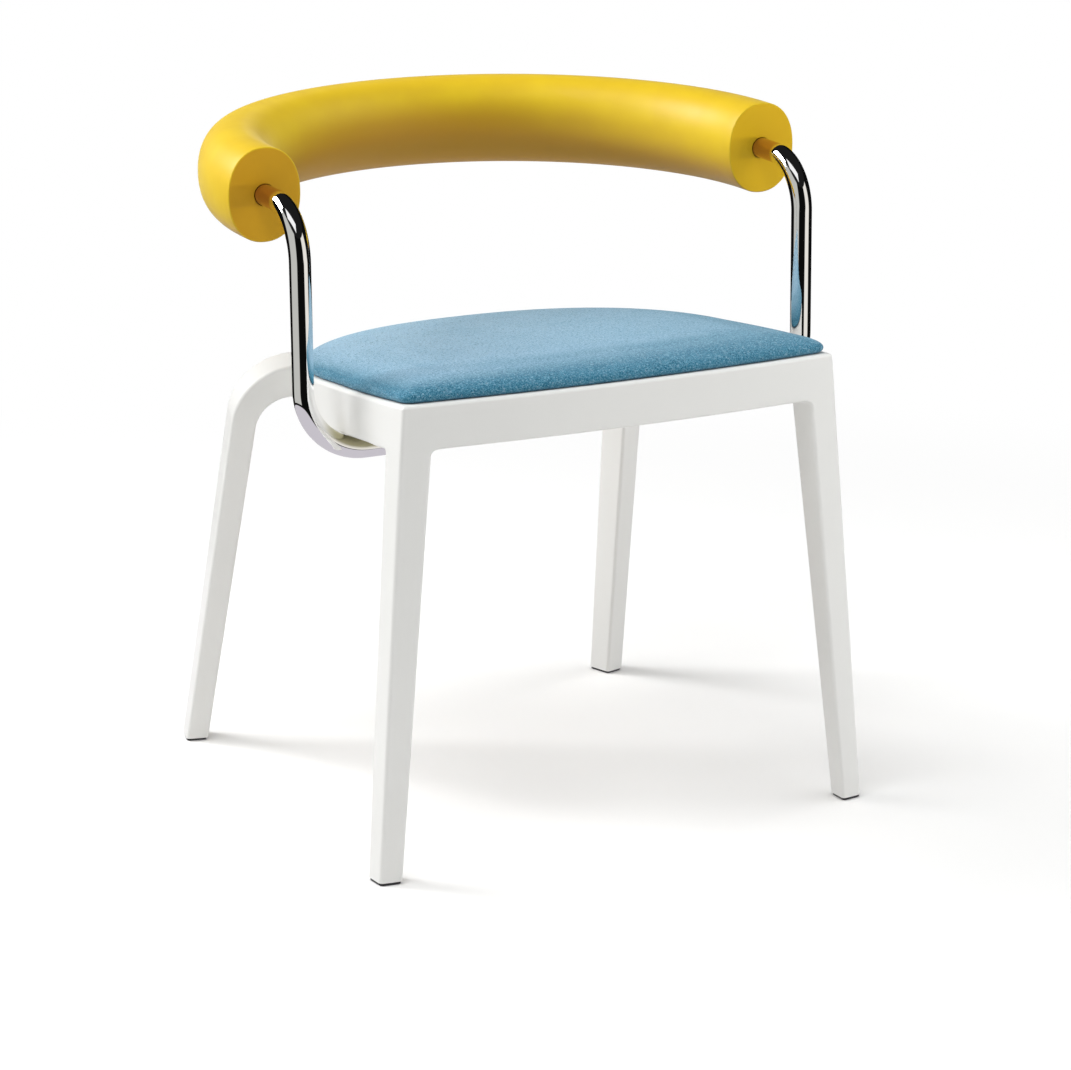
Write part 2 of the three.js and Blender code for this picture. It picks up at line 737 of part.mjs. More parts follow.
function armLine() {
  const left = bentPath(
    [
      new THREE.Vector3(-stubEndX, uprightY, stubHeight),
      new THREE.Vector3(-tubeHalfSpan, uprightY, stubHeight),
      new THREE.Vector3(-tubeHalfSpan, uprightY, armHeightAt(uprightY)),
      new THREE.Vector3(-tubeHalfSpan, rollCentreY, armHeightAt(rollCentreY)),
    ],
    [lowerBendRadius, upperBendRadius],
    bendSteps,
  ).slice(0, -1);
  const right = left.toReversed().map(({ point, along }) => ({
    point: new THREE.Vector3(-point.x, point.y, point.z),
    along: new THREE.Vector3(along.x, -along.y, -along.z),
  }));
  return [...left, ...horseshoe(), ...right];
}

// The outline of a circle as points, so that each side count stays as it is named.
function ringPoints(radius, count) {
  const points = [];
  for (let i = 0; i < count; i++) {
    const angle = (2 * Math.PI * i) / count;
    points.push(new THREE.Vector2(radius * Math.cos(angle), radius * Math.sin(angle)));
  }
  return points;
}

// Each arm bolt passes a wider hole in the tube's lower wall, and its head seats inside the tube's bore.
const boreFlatRadius = (tubeRadius - tubeWall) * Math.cos(Math.PI / boreSides);
const armBoltSeatZ = stubHeight + Math.sqrt(boreFlatRadius ** 2 - armBoltHeadRadius ** 2) - seatedGap;

function armTube() {
  const section = new THREE.Shape(ringPoints(tubeRadius, tubeSides));
  section.holes.push(new THREE.Path(ringPoints(tubeRadius - tubeWall, boreSides)));
  let tube = solid(alongPath(section, armLine()));
  for (const { x, y } of armBolts) {
    const reach = tubeRadius + cutOverrun;
    const hole = rod(armBoltRadius + seatedGap, x, y, stubHeight, stubHeight + reach);
    const access = rod(armBoltHeadRadius + seatedGap, x, y, stubHeight - reach, stubHeight);
    tube = tube.subtract(solid(hole)).subtract(solid(access));
  }
  return tube;
}

function ovalPoints(width, height, count, powerShare) {
  return ringPoints(1, count).map(({ x, y }) => {
    const across = Math.sign(x) * Math.abs(x) ** (2 / powerShare);
    const up = Math.sign(y) * Math.abs(y) ** (2 / powerShare);
    return new THREE.Vector2((width / 2) * across, (height / 2) * up);
  });
}

function backRoll() {
  const boreRadius = (tubeRadius + seatedGap) / Math.cos(Math.PI / tubeSides);
  const section = new THREE.Shape(ovalPoints(rollWidth, rollHeight, rollSides, rollPowerShare));
  section.holes.push(new THREE.Path(ringPoints(boreRadius, tubeSides)));
  const arc = horseshoe();
  const endAt = (x, along) => ({ point: new THREE.Vector3(x, rollEndY, rollEndHeight), along });
  const first = endAt(-tubeHalfSpan, arc[0].along);
  const last = endAt(tubeHalfSpan, arc[arc.length - 1].along);
  return alongPath(section, [first, ...arc, last]);
}

// A block that lies between a stub and the beam, hollowed to the tube, with a hole for each bolt.
function tubeSaddle(side) {
  const half = saddleWidth / 2;
  const lowZ = stubHeight - saddleLap;
  const grooveRadius = tubeRadius + seatedGap * 2;
  const section = new THREE.Shape();
  section.moveTo(uprightY - half, lowZ);
  section.lineTo(uprightY - grooveRadius, lowZ);
  section.lineTo(uprightY - grooveRadius, stubHeight);
  section.absarc(uprightY, stubHeight, grooveRadius, Math.PI, 0, true);
  section.lineTo(uprightY + grooveRadius, lowZ);
  section.lineTo(uprightY + half, lowZ);
  section.lineTo(uprightY + half, undersideZ(uprightY + half) - seatedGap);
  section.lineTo(uprightY - half, undersideZ(uprightY - half) - seatedGap);
  section.closePath();
  const options = { depth: saddleLength, bevelEnabled: false, curveSegments: smallSides };
  const block = new THREE.ExtrudeGeometry(section, options);
  const toChair = new THREE.Matrix4().makeBasis(
    new THREE.Vector3(0, 1, 0),
    new THREE.Vector3(0, 0, 1),
    new THREE.Vector3(1, 0, 0),
  );
  block.applyMatrix4(toChair);
  block.translate(side > 0 ? saddleInnerX : -saddleOuterX, 0, 0);
  let saddle = solid(block);
  for (const { x, y } of armBolts) {
    saddle = saddle.subtract(solid(rod(armBoltRadius + seatedGap, x, y, stubHeight, topZ(y))));
  }
  return saddle;
}

function armBolt() {
  const kind = {
    radius: armBoltRadius,
    headRadius: armBoltHeadRadius,
    headHeight: armBoltHeadHeight,
    keyRadius: armBoltKeyRadius,
    keyDepth: armBoltKeyDepth,
  };
  return machineScrew(kind, undersideZ(uprightY) + armBoltReach - armBoltSeatZ);
}

function armInsert() {
  const blank = rod(insertRadius, 0, 0, 0, insertLength);
  const bore = rod(armBoltRadius + seatedGap, 0, 0, -cutOverrun, insertLength + cutOverrun);
  return solid(blank).subtract(solid(bore));
}

function tubePlug(side) {
  const stem = boreFlatRadius - seatedGap;
  const plug = turned([
    [0, -plugHeadHeight],
    [tubeRadius - plugEdgeRound, -plugHeadHeight],
    [tubeRadius, -plugHeadHeight + plugEdgeRound],
    [tubeRadius, 0],
    [stem, 0],
    [stem, plugStemLength - plugEdgeRound],
    [stem - plugEdgeRound, plugStemLength],
    [0, plugStemLength],
  ]);
  plug.rotateY((side * Math.PI) / 2);
  return plug;
}

const armchair = new THREE.Group();
armchair.add(mesh("seat_frame", seatFrame(), whiteMoulding));

for (const foot of glideFeet) armchair.add(mesh(`foot_glide_${foot.name}`, footGlide(foot), darkNylon));

const pad = new THREE.Group();
pad.add(mesh("seat_cover", seatCover(), blueFabric));
pad.add(mesh("seat_foam", seatFoam(), padFoam));
pad.add(mesh("seat_board", seatBoard(), plywood));
for (const { name, x, y } of boardScrews) {
  const screw = mesh(`board_screw_${name}`, boardScrew(y), zincSteel);
  screw.position.set(x, y, screwSeatZ(y) - seatedGap);
  const nut = mesh(`board_nut_${name}`, teeNut(), zincSteel);
  nut.position.set(x, y, topZ(y) + boardBottom);
  pad.add(screw, nut);
}
armchair.add(pad);

const arms = new THREE.Group();
arms.add(mesh("arm_tube", armTube(), chrome));
arms.add(mesh("back_roll", backRoll(), yellowFoam));
for (const { name, x, y } of armBolts) {
  const bolt = mesh(`arm_bolt_${name}`, armBolt(), zincSteel);
  bolt.position.set(x, y, armBoltSeatZ);
  const insert = mesh(`arm_insert_${name}`, armInsert(), brass);
  insert.position.set(x, y, undersideZ(y) + seatedGap);
  arms.add(bolt, insert);
}
for (const [side, word] of sides) {
  arms.add(mesh(`tube_saddle_${word}`, tubeSaddle(side), greyNylon));
  const plug = mesh(`tube_plug_${word}`, tubePlug(side), darkNylon);
  plug.position.set(side * (stubEndX - seatedGap), uprightY, stubHeight);
  arms.add(plug);
}
armchair.add(arms);

export default armchair;
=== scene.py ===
import json
import math

import bmesh
import bpy
from mathutils import Matrix, Vector
from mathutils.bvhtree import BVHTree


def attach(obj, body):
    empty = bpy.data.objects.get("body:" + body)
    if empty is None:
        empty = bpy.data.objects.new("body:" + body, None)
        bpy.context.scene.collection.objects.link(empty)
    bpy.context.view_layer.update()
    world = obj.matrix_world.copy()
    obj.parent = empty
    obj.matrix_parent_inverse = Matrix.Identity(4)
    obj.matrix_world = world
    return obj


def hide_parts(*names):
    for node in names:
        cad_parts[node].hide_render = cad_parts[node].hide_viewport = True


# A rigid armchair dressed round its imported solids. Metres, +Z up, the front of the seat faces -Y, and
# the floor is Z = 0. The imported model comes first, then camera, light, finishes and the fine pieces.

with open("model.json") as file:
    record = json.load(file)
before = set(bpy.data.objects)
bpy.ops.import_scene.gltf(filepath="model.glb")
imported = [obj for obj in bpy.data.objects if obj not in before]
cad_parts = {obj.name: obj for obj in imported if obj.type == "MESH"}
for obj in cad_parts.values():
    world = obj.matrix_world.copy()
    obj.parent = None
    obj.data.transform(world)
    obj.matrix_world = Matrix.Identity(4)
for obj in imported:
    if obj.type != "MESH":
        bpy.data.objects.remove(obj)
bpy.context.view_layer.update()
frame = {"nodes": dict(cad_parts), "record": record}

# The chair's own sizes, as the solids have them
SEATED_GAP = 0.0003
CUT_OVERRUN = 0.006
WELD_DISTANCE = 0.00001

FRAME_HALF_WIDTH = 0.2234
FRAME_FRONT_Y = -0.2657
FRONT_BOW = 0.0165
SIDE_BOW = 0.0028
BACK_CENTRE_Y = -0.0885
BACK_DEPTH = 0.2224
BACK_POWER = 2.31
FRAME_CORNER_TOP_Z = 0.4439
SEAT_SLOPE = 0.072
RING_HEIGHT = 0.0425
RING_TOP_ROUND = 0.004
RING_BOTTOM_ROUND = 0.0022
LEG_BLEND_START_Y = -0.208
LEG_BLEND_LENGTH = 0.036
LAND_WIDTH = 0.0085
POCKET_DEPTH = 0.014
POCKET_CORNER_RADIUS = 0.0105
OPENING_INSET = 0.05
OPENING_CORNER_RADIUS = 0.024
BEAM_Y = -0.124
BEAM_WIDTH = 0.062

LEG_EDGE_RADIUS = 0.0036
LEG_FILLET_RADIUS = 0.006
FRONT_SPLAY = (0.0347, -0.007)
FRONT_FOOT = (0.0222, 0.024)
FRONT_TOP = (0.0294, 0.0296)
FRONT_SLANT = (0.0012, 0.0065)
REAR_FOOT_AT = (0.2394, 0.2303)
REAR_TURN = math.radians(15.74)
REAR_LEAN = 0.2233
REAR_KNEE_INSET = 0.0535
REAR_KNEE_DROP = 0.0516
REAR_SHOULDER_REACH = 0.18
REAR_SHOULDER_RISE = 0.0065
REAR_BEND_RADIUS = 0.052
REAR_FOOT = (0.0222, 0.029)
REAR_SHANK = (0.0252, 0.035)
REAR_SHOULDER = (0.0345, 0.035)
GLIDE_HEIGHT = 0.0026

SCREW_SHANK = 0.003
SCREW_HEAD = 0.0056
SCREW_COUNTERBORE = 0.016
SCREW_FRONT_X = 0.12
SCREW_FRONT_INSET = 0.033
SCREW_REAR_AT = (0.14606, 0.058)
INSERT_RADIUS = 0.0046
INSERT_LENGTH = 0.014
ARM_BOLT_X = (0.1695, 0.1215)
ARM_BOLT_SHANK = 0.003
ARM_BOLT_HEAD = 0.0052

PAD_GAP = 0.0006
PAD_CORNER_RADIUS = 0.0105
PAD_EDGE_RISE = 0.0207
PAD_CROWN_RISE = 0.0029
PAD_SIDE_DRAW = 0.0012
PAD_SIDE_BULGE = 0.0053
PAD_BULGE_HEIGHT = 0.0051
PAD_EDGE_SHARE = 0.3
PAD_EDGE_POWER = 2
PAD_FOOT_SHARE = 0.004
PAD_FOOT_ROUND = 0.001
HEM_WIDTH = 0.014
COVER_THICKNESS = 0.0009

# How the pad's cover is filled: a slightly sunk form swells under pressure, no further than its cap.
# The clean cover then follows it, no further than its own cap, and not at all at the seam.
PAD_START_SINK = 0.0016
PAD_VOXEL = 0.0045
PAD_FRAMES = 20
PAD_CLOTH = {
    "quality": 6,
    "mass": 0.2,
    "tension_stiffness": 12,
    "compression_stiffness": 12,
    "shear_stiffness": 5,
    "bending_stiffness": 0.6,
    "use_pressure": True,
    "uniform_pressure_force": 4.0,
}
PAD_MOST_MOVE = 0.005
PAD_SMOOTH_ROUNDS = 10
PAD_EASE_ROUNDS = 20
PAD_MOST_OUT = 0.0016
PAD_HELD_ABOVE = 0.0006
PAD_FREE_ABOVE = 0.006
PAD_FULL_ABOVE = 0.014

TUBE_RADIUS = 0.01
TUBE_WALL = 0.002
TUBE_HALF_SPAN = 0.264
UPRIGHT_Y = -0.124
STUB_HEIGHT = 0.377986
STUB_END_X = 0.1
LOWER_BEND_RADIUS = 0.06
UPPER_BEND_RADIUS = 0.05
ROLL_CENTRE_Y = -0.0343
ROLL_END_Y = -0.0475
ROLL_END_HEIGHT = 0.6061
ROLL_SLOPE = 0.032
ROLL_WIDTH = 0.072
ROLL_HEIGHT = 0.0884
ROLL_POWER = 2.2
ROLL_RIM_ROUND = 0.0011
ROLL_BORE_RADIUS = 0.01046
ROLL_BORE_DEPTH = 0.016

# What the finishes follow: the yarn's pitch, how far the painted warm reflection and shade on the
# chrome reaches out of the foam, and where the run of tube under the seat, with its painted dull
# reflection, ends
YARN_PITCH = 0.0016
PAINTED_REFLECTION_REACH = 0.03
PAINTED_REFLECTION_FADE = 0.007
RUN_FADE = 0.02
RUN_HEIGHTS = (0.42, 0.4)

# How many steps each round form is drawn in
BOW_STEPS = 36
CORNER_STEPS = 10
SIDE_STEPS = 44
BACK_STEPS = 64
RING_TOP_STEPS = 6
RING_BOTTOM_STEPS = 4
RING_WALL_STEPS = 6
LEG_EDGE_STEPS = 6
LEG_FILLET_STEPS = 6
FRONT_LEG_STEPS = 12
REAR_SHANK_STEPS = 10
REAR_BEND_STEPS = 28
BORE_SIDES = 48
PAD_UNDERSIDE_SHARES = (0.99, 0.75, 0.5, 0.25)
PAD_WALL_STEPS = 4
PAD_BULGE_STEPS = 6
PAD_TOP_STEPS = 60
PAD_TOP_SHARE = 0.99
TUBE_SIDES = 64
TUBE_BEND_STEPS = 40
TUBE_BACK_STEPS = 90
ROLL_SIDES = 120
ROLL_BACK_STEPS = 150
ROLL_END_STEPS = 5

# Edges that turn by more than this stay sharp
FRAME_SHARP_ANGLE = math.radians(32)
COVER_SHARP_ANGLE = math.radians(80)
TUBE_SHARP_ANGLE = math.radians(40)
ROLL_SHARP_ANGLE = math.radians(50)

FRAME_CORNER_Y = FRAME_FRONT_Y + FRONT_BOW
UP = Vector((0, 0, 1))
SQUARE = ((-1, -1), (1, -1), (1, 1), (-1, 1))
SEAT_MIDDLE = Vector((0, 0, 0.4))


# The camera, fitted to the chair's own corners and edges
CAMERA_AT = (-1.57525, -3.124, 1.19074)
CAMERA_FORWARD = (0.44231875, 0.85741548, -0.26304527)
CAMERA_ROLL = math.radians(-0.486)
CAMERA_LENS = 123.875


def add_camera():
    camera = bpy.data.cameras.new("photo_camera")
    camera.sensor_width = 36
    camera.lens = CAMERA_LENS
    camera.clip_end = 100
    forward = Vector(CAMERA_FORWARD).normalized()
    level = forward.cross(UP).normalized()
    above = level.cross(forward)
    right = level * math.cos(CAMERA_ROLL) + above * math.sin(CAMERA_ROLL)
    top = above * math.cos(CAMERA_ROLL) - level * math.sin(CAMERA_ROLL)
    place = Matrix((right, top, -forward)).transposed().to_4x4()
    place.translation = CAMERA_AT
    holder = bpy.data.objects.new("photo_camera", camera)
    bpy.context.scene.collection.objects.link(holder)
    holder.matrix_world = place
    bpy.context.scene.camera = holder


# Small kit for shader nodes


class Wire:
    """A node's output that takes part in Python sums."""

    def __init__(self, finish, socket):
        self.finish = finish
        self.socket = socket

    def maths(self, operation, *others):
        return self.finish.maths(operation, self, *others)

    def __add__(self, other):
        return self.maths("ADD", other)

    def __radd__(self, other):
        return self.finish.maths("ADD", other, self)

    def __sub__(self, other):
        return self.maths("SUBTRACT", other)

    def __rsub__(self, other):
        return self.finish.maths("SUBTRACT", other, self)

    def __mul__(self, other):
        return self.maths("MULTIPLY", other)

    def __rmul__(self, other):
        return self.finish.maths("MULTIPLY", other, self)

    def __truediv__(self, other):
        return self.maths("DIVIDE", other)

    def __rtruediv__(self, other):
        return self.finish.maths("DIVIDE", other, self)

    def __pow__(self, other):
        return self.maths("POWER", other)

    def __rpow__(self, other):
        return self.finish.maths("POWER", other, self)


class Finish:
    """A material's or world's node tree, built one call to a node."""

    def __init__(self, owner):
        self.owner = owner
        owner.use_nodes = True
        self.tree = owner.node_tree
        self.tree.nodes.clear()

    def add(self, kind, settings=None, inputs=None, output=0):
        made = self.tree.nodes.new(kind)
        for key, value in (settings or {}).items():
            if key == "stops":
                set_stops(made.color_ramp, value)
            else:
                setattr(made, key, value)
        for key, value in (inputs or {}).items():
            if isinstance(value, Wire):
                self.tree.links.new(value.socket, made.inputs[key])
            else:
                made.inputs[key].default_value = value
        return Wire(self, made.outputs[output]) if made.outputs else None

    def maths(self, operation, *terms):
        return self.add("ShaderNodeMath", {"operation": operation}, dict(enumerate(terms)))

    def place(self):
        return self.add("ShaderNodeTexCoord", output="Object")

    def noise(self, vector, scale, detail, roughness=0.5):
        inputs = {"Vector": vector, "Scale": scale, "Detail": detail, "Roughness": roughness}
        return self.add("ShaderNodeTexNoise", None, inputs)

    def ramp(self, factor, stops):
        return self.add("ShaderNodeValToRGB", {"stops": stops}, {"Fac": factor})

    def spread(self, value, low, high):
        """A soft step that is 0 at low and 1 at high."""
        settings = {"interpolation_type": "SMOOTHSTEP"}
        inputs = {"Value": value, "From Min": low, "From Max": high}
        return self.add("ShaderNodeMapRange", settings, inputs)

    def blend(self, factor, first, second):
        return self.add("ShaderNodeMix", {"data_type": "RGBA"}, {0: factor, 6: first, 7: second}, 2)

    def dot(self, vector, fixed):
        settings = {"operation": "DOT_PRODUCT"}
        return self.add("ShaderNodeVectorMath", settings, {0: vector, 1: tuple(fixed)}, "Value")

    def stretch(self, vector, scale):
        return self.add("ShaderNodeVectorMath", {"operation": "MULTIPLY"}, {0: vector, 1: scale})

    def parts(self, vector):
        split = self.add("ShaderNodeSeparateXYZ", None, {"Vector": vector}).socket.node
        return [Wire(self, socket) for socket in split.outputs]

    def bump(self, height, distance, strength):
        inputs = {"Height": height, "Distance": distance, "Strength": strength}
        return self.add("ShaderNodeBump", None, inputs)

    def surface(self, **sockets):
        inputs = {key.replace("_", " "): value for key, value in sockets.items()}
        shader = self.add("ShaderNodeBsdfPrincipled", None, inputs)
        self.add("ShaderNodeOutputMaterial", None, {"Surface": shader})
        return self.owner


def set_stops(ramp, stops):
    while len(ramp.elements) > 1:
        ramp.elements.remove(ramp.elements[0])
    ramp.elements[0].position, ramp.elements[0].color = stops[0]
    for position, colour in stops[1:]:
        ramp.elements.new(position).color = colour


def new_finish(name):
    return Finish(bpy.data.materials.new(name))


def grey(level):
    return (level, level, level, 1)


# Finishes


def white_moulding():
    f = new_finish("white_moulding")
    place = f.place()
    drift = f.noise(place, 5.0, 2.0)
    grain = f.noise(place, 1600.0, 2.0)
    handled = f.noise(place, 38.0, 4.0, 0.6)
    colour = f.blend(drift, (0.86, 0.86, 0.84, 1), (0.9, 0.9, 0.88, 1))
    return f.surface(
        Base_Color=colour,
        Roughness=0.3 + 0.12 * handled,
        Normal=f.bump(grain, 0.00004, 0.35),
        Specular_IOR_Level=0.35,
        Coat_Weight=0.08,
        Coat_Roughness=0.15,
    )


def blue_fabric():
    """Heathered cloth with painted light and shade: paler on the flat of its top, darker towards its
    front, its right and its rounded edges, with a painted shadow line in the seam."""
    f = new_finish("blue_fabric")
    place = f.place()
    x, y, z = f.parts(place)
    lie_x, lie_y, upward = f.parts(f.add("ShaderNodeNewGeometry", output="Normal"))
    fibres = f.noise(f.stretch(place, (1.0, 0.7, 1.0)), 800.0, 3.0, 0.75)
    flecks = f.noise(f.stretch(place, (0.7, 1.0, 1.0)), 640.0, 2.0, 0.7)
    threads = f.noise(f.stretch(place, (1.0, 0.12, 1.0)), 260.0, 3.0, 0.6)
    clouds = f.noise(place, 26.0, 3.0)
    waves = 2 * math.pi / YARN_PITCH
    weave = 0.5 + 0.5 * ((x + z) * waves).maths("SINE") * ((y - z) * waves).maths("SINE")
    # Painted light and shade: the share is high on upward faces towards the back and left of the pad,
    # and falls off on faces and places towards the front, the right and the sides.
    painted_shade_facing = lie_x.maths("ABSOLUTE") * 0.75 - lie_x * 0.12 - lie_y * 0.8
    painted_light_share = f.spread(painted_shade_facing + x * 0.65 - y * 0.5, 0.4, -0.14) * f.spread(upward, 0.3, 0.85)
    # The body ramp is the shaded copy of the yarn and the pale ramp the lit copy; the painted light
    # share blends them.
    body = f.ramp(
        fibres,
        [
            (0.3, (0.006, 0.07, 0.13, 1)),
            (0.45, (0.03, 0.165, 0.26, 1)),
            (0.55, (0.075, 0.26, 0.38, 1)),
            (0.7, (0.2, 0.45, 0.61, 1)),
        ],
    )
    pale = f.ramp(
        fibres,
        [
            (0.3, (0.2, 0.42, 0.61, 1)),
            (0.45, (0.33, 0.56, 0.75, 1)),
            (0.55, (0.43, 0.64, 0.82, 1)),
            (0.7, (0.56, 0.77, 0.92, 1)),
        ],
    )
    # A painted shadow line in the seam where the cloth meets the frame.
    above_seam = z - FRAME_CORNER_TOP_Z + (y - FRAME_CORNER_Y) * SEAT_SLOPE
    layers = [
        # Pale flecks show more where the light is painted on.
        (f.spread(flecks, 0.56, 0.66) * (0.35 + 0.3 * painted_light_share), (0.46, 0.68, 0.82, 1)),
        (f.spread(flecks, 0.44, 0.34) * 0.75, (0.02, 0.13, 0.22, 1)),
        (f.spread(threads, 0.55, 0.7) * 0.15, (0.4, 0.6, 0.74, 1)),
        (f.spread(clouds, 0.35, 0.7) * 0.12, (0.12, 0.34, 0.5, 1)),
        (f.spread(above_seam, 0.003, 0.0) * 0.6, (0.008, 0.05, 0.09, 1)),
    ]
    colour = f.blend(painted_light_share, body, pale)
    for share, tone in layers:
        colour = f.blend(share, colour, tone)
    height = weave * 0.35 + fibres * 0.9
    return f.surface(
        Base_Color=colour,
        Roughness=0.95,
        Normal=f.bump(height, 0.0007, 0.8),
        Sheen_Weight=0.25,
        Sheen_Roughness=0.5,
        Sheen_Tint=(0.85, 0.93, 1.0, 1),
        Specular_IOR_Level=0.12,
    )


def yellow_foam():
    """Satin skin with painted shade, more orange where it faces down or inwards, and a painted pale
    reflection on the outside of the bend.
    """
    f = new_finish("yellow_foam")
    # The shade tone is painted shade, also used for the mottle; the pale tone is a painted reflection.
    skin, painted_shade_and_mottle_tone, pale = (0.79, 0.545, 0.009, 1), (0.52, 0.255, 0.011, 1), (0.84, 0.67, 0.12, 1)
    place = f.place()
    mottle = f.noise(place, 16.0, 3.0)
    pores = f.noise(place, 1300.0, 2.0, 0.7)
    ripple = f.noise(place, 60.0, 2.0)
    x, y, _ = f.parts(place)
    lie_x, lie_y, upward = f.parts(f.add("ShaderNodeNewGeometry", output="Normal"))
    outward = (lie_x * x * 0.3 + lie_y * (y - ROLL_CENTRE_Y)) / TUBE_HALF_SPAN
    # Painted shade: the skin turns to the shade tone where it faces down or inwards.
    colour = f.blend(f.spread(outward * 0.8 + upward, -0.85, 0.0), painted_shade_and_mottle_tone, skin)
    colour = f.blend(f.spread(mottle, 0.3, 0.7) * 0.2, colour, painted_shade_and_mottle_tone)
    # A painted pale reflection on the outside of the bend.
    colour = f.blend(f.spread(outward, 0.3, 1.0) * 0.65, colour, pale)
    return f.surface(
        Base_Color=colour,
        Roughness=0.42 + 0.1 * ripple,
        Normal=f.bump(pores * 0.4 + ripple, 0.00012, 0.4),
        Specular_IOR_Level=0.5,
        Sheen_Weight=0.24,
        Sheen_Roughness=0.3,
        Sheen_Tint=(1.0, 0.98, 0.82, 1),
    )


def cut_foam_end():
    """The roll's flat ends: duller and more orange than its skin, with open cells, painted lighter at
    the right.
    """
    f = new_finish("yellow_foam_end")
    place = f.place()
    mottle = f.noise(place, 40.0, 3.0)
    cells = f.noise(place, 1500.0, 2.0, 0.7)
    x, _, _ = f.parts(place)
    light, dark = (0.71, 0.375, 0.013, 1), (0.63, 0.32, 0.011, 1)
    colour = f.blend(f.spread(mottle, 0.3, 0.7) * 0.3, light, dark)
    # Painted light: the ends turn lighter towards the right end of the roll.
    return f.surface(
        Base_Color=f.blend(f.spread(x, -0.2, 0.2), colour, (0.82, 0.5, 0.012, 1)),
        Roughness=0.55,
        Normal=f.bump(cells, 0.0002, 0.5),
        Specular_IOR_Level=0.3,
    )


def chrome():
    """Bright plate with a painted warm reflection and shade where the foam starts, and a painted dull
    reflection of the seat's shaded underside on the top of the run under the seat."""
    f = new_finish("chromed_tube")
    place = f.place()
    haze = f.noise(place, 55.0, 3.0)
    x, y, z = f.parts(place)
    _, _, upward = f.parts(f.add("ShaderNodeNewGeometry", output="Normal"))
    colour = f.blend(haze, (0.93, 0.93, 0.93, 1), (0.88, 0.88, 0.89, 1))
    # A painted warm reflection and shade on the chrome just in front of the foam's end.
    painted_reflection_y = ROLL_END_Y - PAINTED_REFLECTION_REACH
    colour = f.blend(f.spread(y, painted_reflection_y - PAINTED_REFLECTION_FADE, painted_reflection_y), colour, (0.6, 0.37, 0.5, 1))
    run_end = TUBE_HALF_SPAN - TUBE_RADIUS
    on_run = f.spread(x * x, run_end**2, (run_end - RUN_FADE) ** 2)
    # A painted dull olive reflection of the seat's shaded underside on the upper side of the run.
    painted_underside_reflection = on_run * f.spread(z, *RUN_HEIGHTS) * f.spread(upward, 0.0, 0.35)
    colour = f.blend(painted_underside_reflection, colour, (0.45, 0.42, 0.27, 1))
    return f.surface(Base_Color=colour, Metallic=1.0, Roughness=0.004 + 0.012 * haze)


def plywood():
    f = new_finish("plywood")
    place = f.place()
    warped = f.noise(f.stretch(place, (9.0, 1.2, 9.0)), 6.0, 4.0, 0.6)
    rings = f.noise(f.stretch(place, (120.0, 4.0, 120.0)), 3.0, 3.0)
    tone = f.blend(f.spread(warped, 0.3, 0.7), (0.62, 0.43, 0.23, 1), (0.45, 0.28, 0.13, 1))
    tone = f.blend(f.spread(rings, 0.5, 0.75) * 0.6, tone, (0.3, 0.17, 0.075, 1))
    return f.surface(Base_Color=tone, Roughness=0.62 + 0.2 * rings, Normal=f.bump(rings, 0.0002, 0.5))


def plain_nylon(name, dark, light):
    f = new_finish(name)
    place = f.place()
    grain = f.noise(place, 2200.0, 2.0)
    patch = f.noise(place, 90.0, 3.0)
    colour = f.blend(patch, dark, light)
    skin = f.bump(grain, 0.00004, 0.6)
    return f.surface(Base_Color=colour, Roughness=0.42 + 0.2 * patch, Normal=skin)


def cut_foam():
    f = new_finish("pad_foam")
    place = f.place()
    cells = f.add("ShaderNodeTexVoronoi", None, {"Vector": place, "Scale": 900.0})
    tone = f.blend(f.spread(cells, 0.1, 0.6), (0.5, 0.46, 0.33, 1), (0.82, 0.78, 0.62, 1))
    return f.surface(Base_Color=tone, Roughness=0.95, Normal=f.bump(cells, 0.0006, 0.8))


def turned_metal(name, dark, light, rough):
    f = new_finish(name)
    place = f.place()
    streaks = f.noise(f.stretch(place, (1.0, 1.0, 14.0)), 260.0, 3.0)
    patch = f.noise(place, 300.0, 3.0)
    colour = f.blend(patch, dark, light)
    rough = rough + 0.18 * streaks
    skin = f.bump(streaks, 0.00004, 0.5)
    return f.surface(Base_Color=colour, Metallic=1.0, Roughness=rough, Normal=skin)


FINISHES = {
    "white_moulding": white_moulding(),
    "blue_fabric": blue_fabric(),
    "yellow_foam": yellow_foam(),
    "chromed_tube": chrome(),
    "plywood": plywood(),
    "pad_foam": cut_foam(),
    "dark_nylon": plain_nylon("dark_nylon", (0.012, 0.012, 0.013, 1), (0.03, 0.03, 0.032, 1)),
    "grey_nylon": plain_nylon("grey_nylon", (0.2, 0.205, 0.21, 1), (0.27, 0.275, 0.28, 1)),
    "zinc_steel": turned_metal("zinc_steel", (0.5, 0.52, 0.55, 1), (0.66, 0.68, 0.71, 1), 0.28),
    "brass_insert": turned_metal("brass_insert", (0.6, 0.42, 0.16, 1), (0.72, 0.54, 0.24, 1), 0.24),
}
CUT_END = cut_foam_end()


def dress_solids():
    slots = {part["node"]: part["material_slot"] for part in frame["record"]["subparts"]}
    for name, node in frame["nodes"].items():
        for slot in node.material_slots:
            slot.material = FINISHES[slots[name]]


# Small kit for meshes


def add_mesh(name, points, faces):
    mesh = bpy.data.meshes.new(name)
    mesh.from_pydata([tuple(point) for point in points], [], faces)
    mesh.update()
    made = bpy.data.objects.new(name, mesh)
    bpy.context.scene.collection.objects.link(made)
    return made


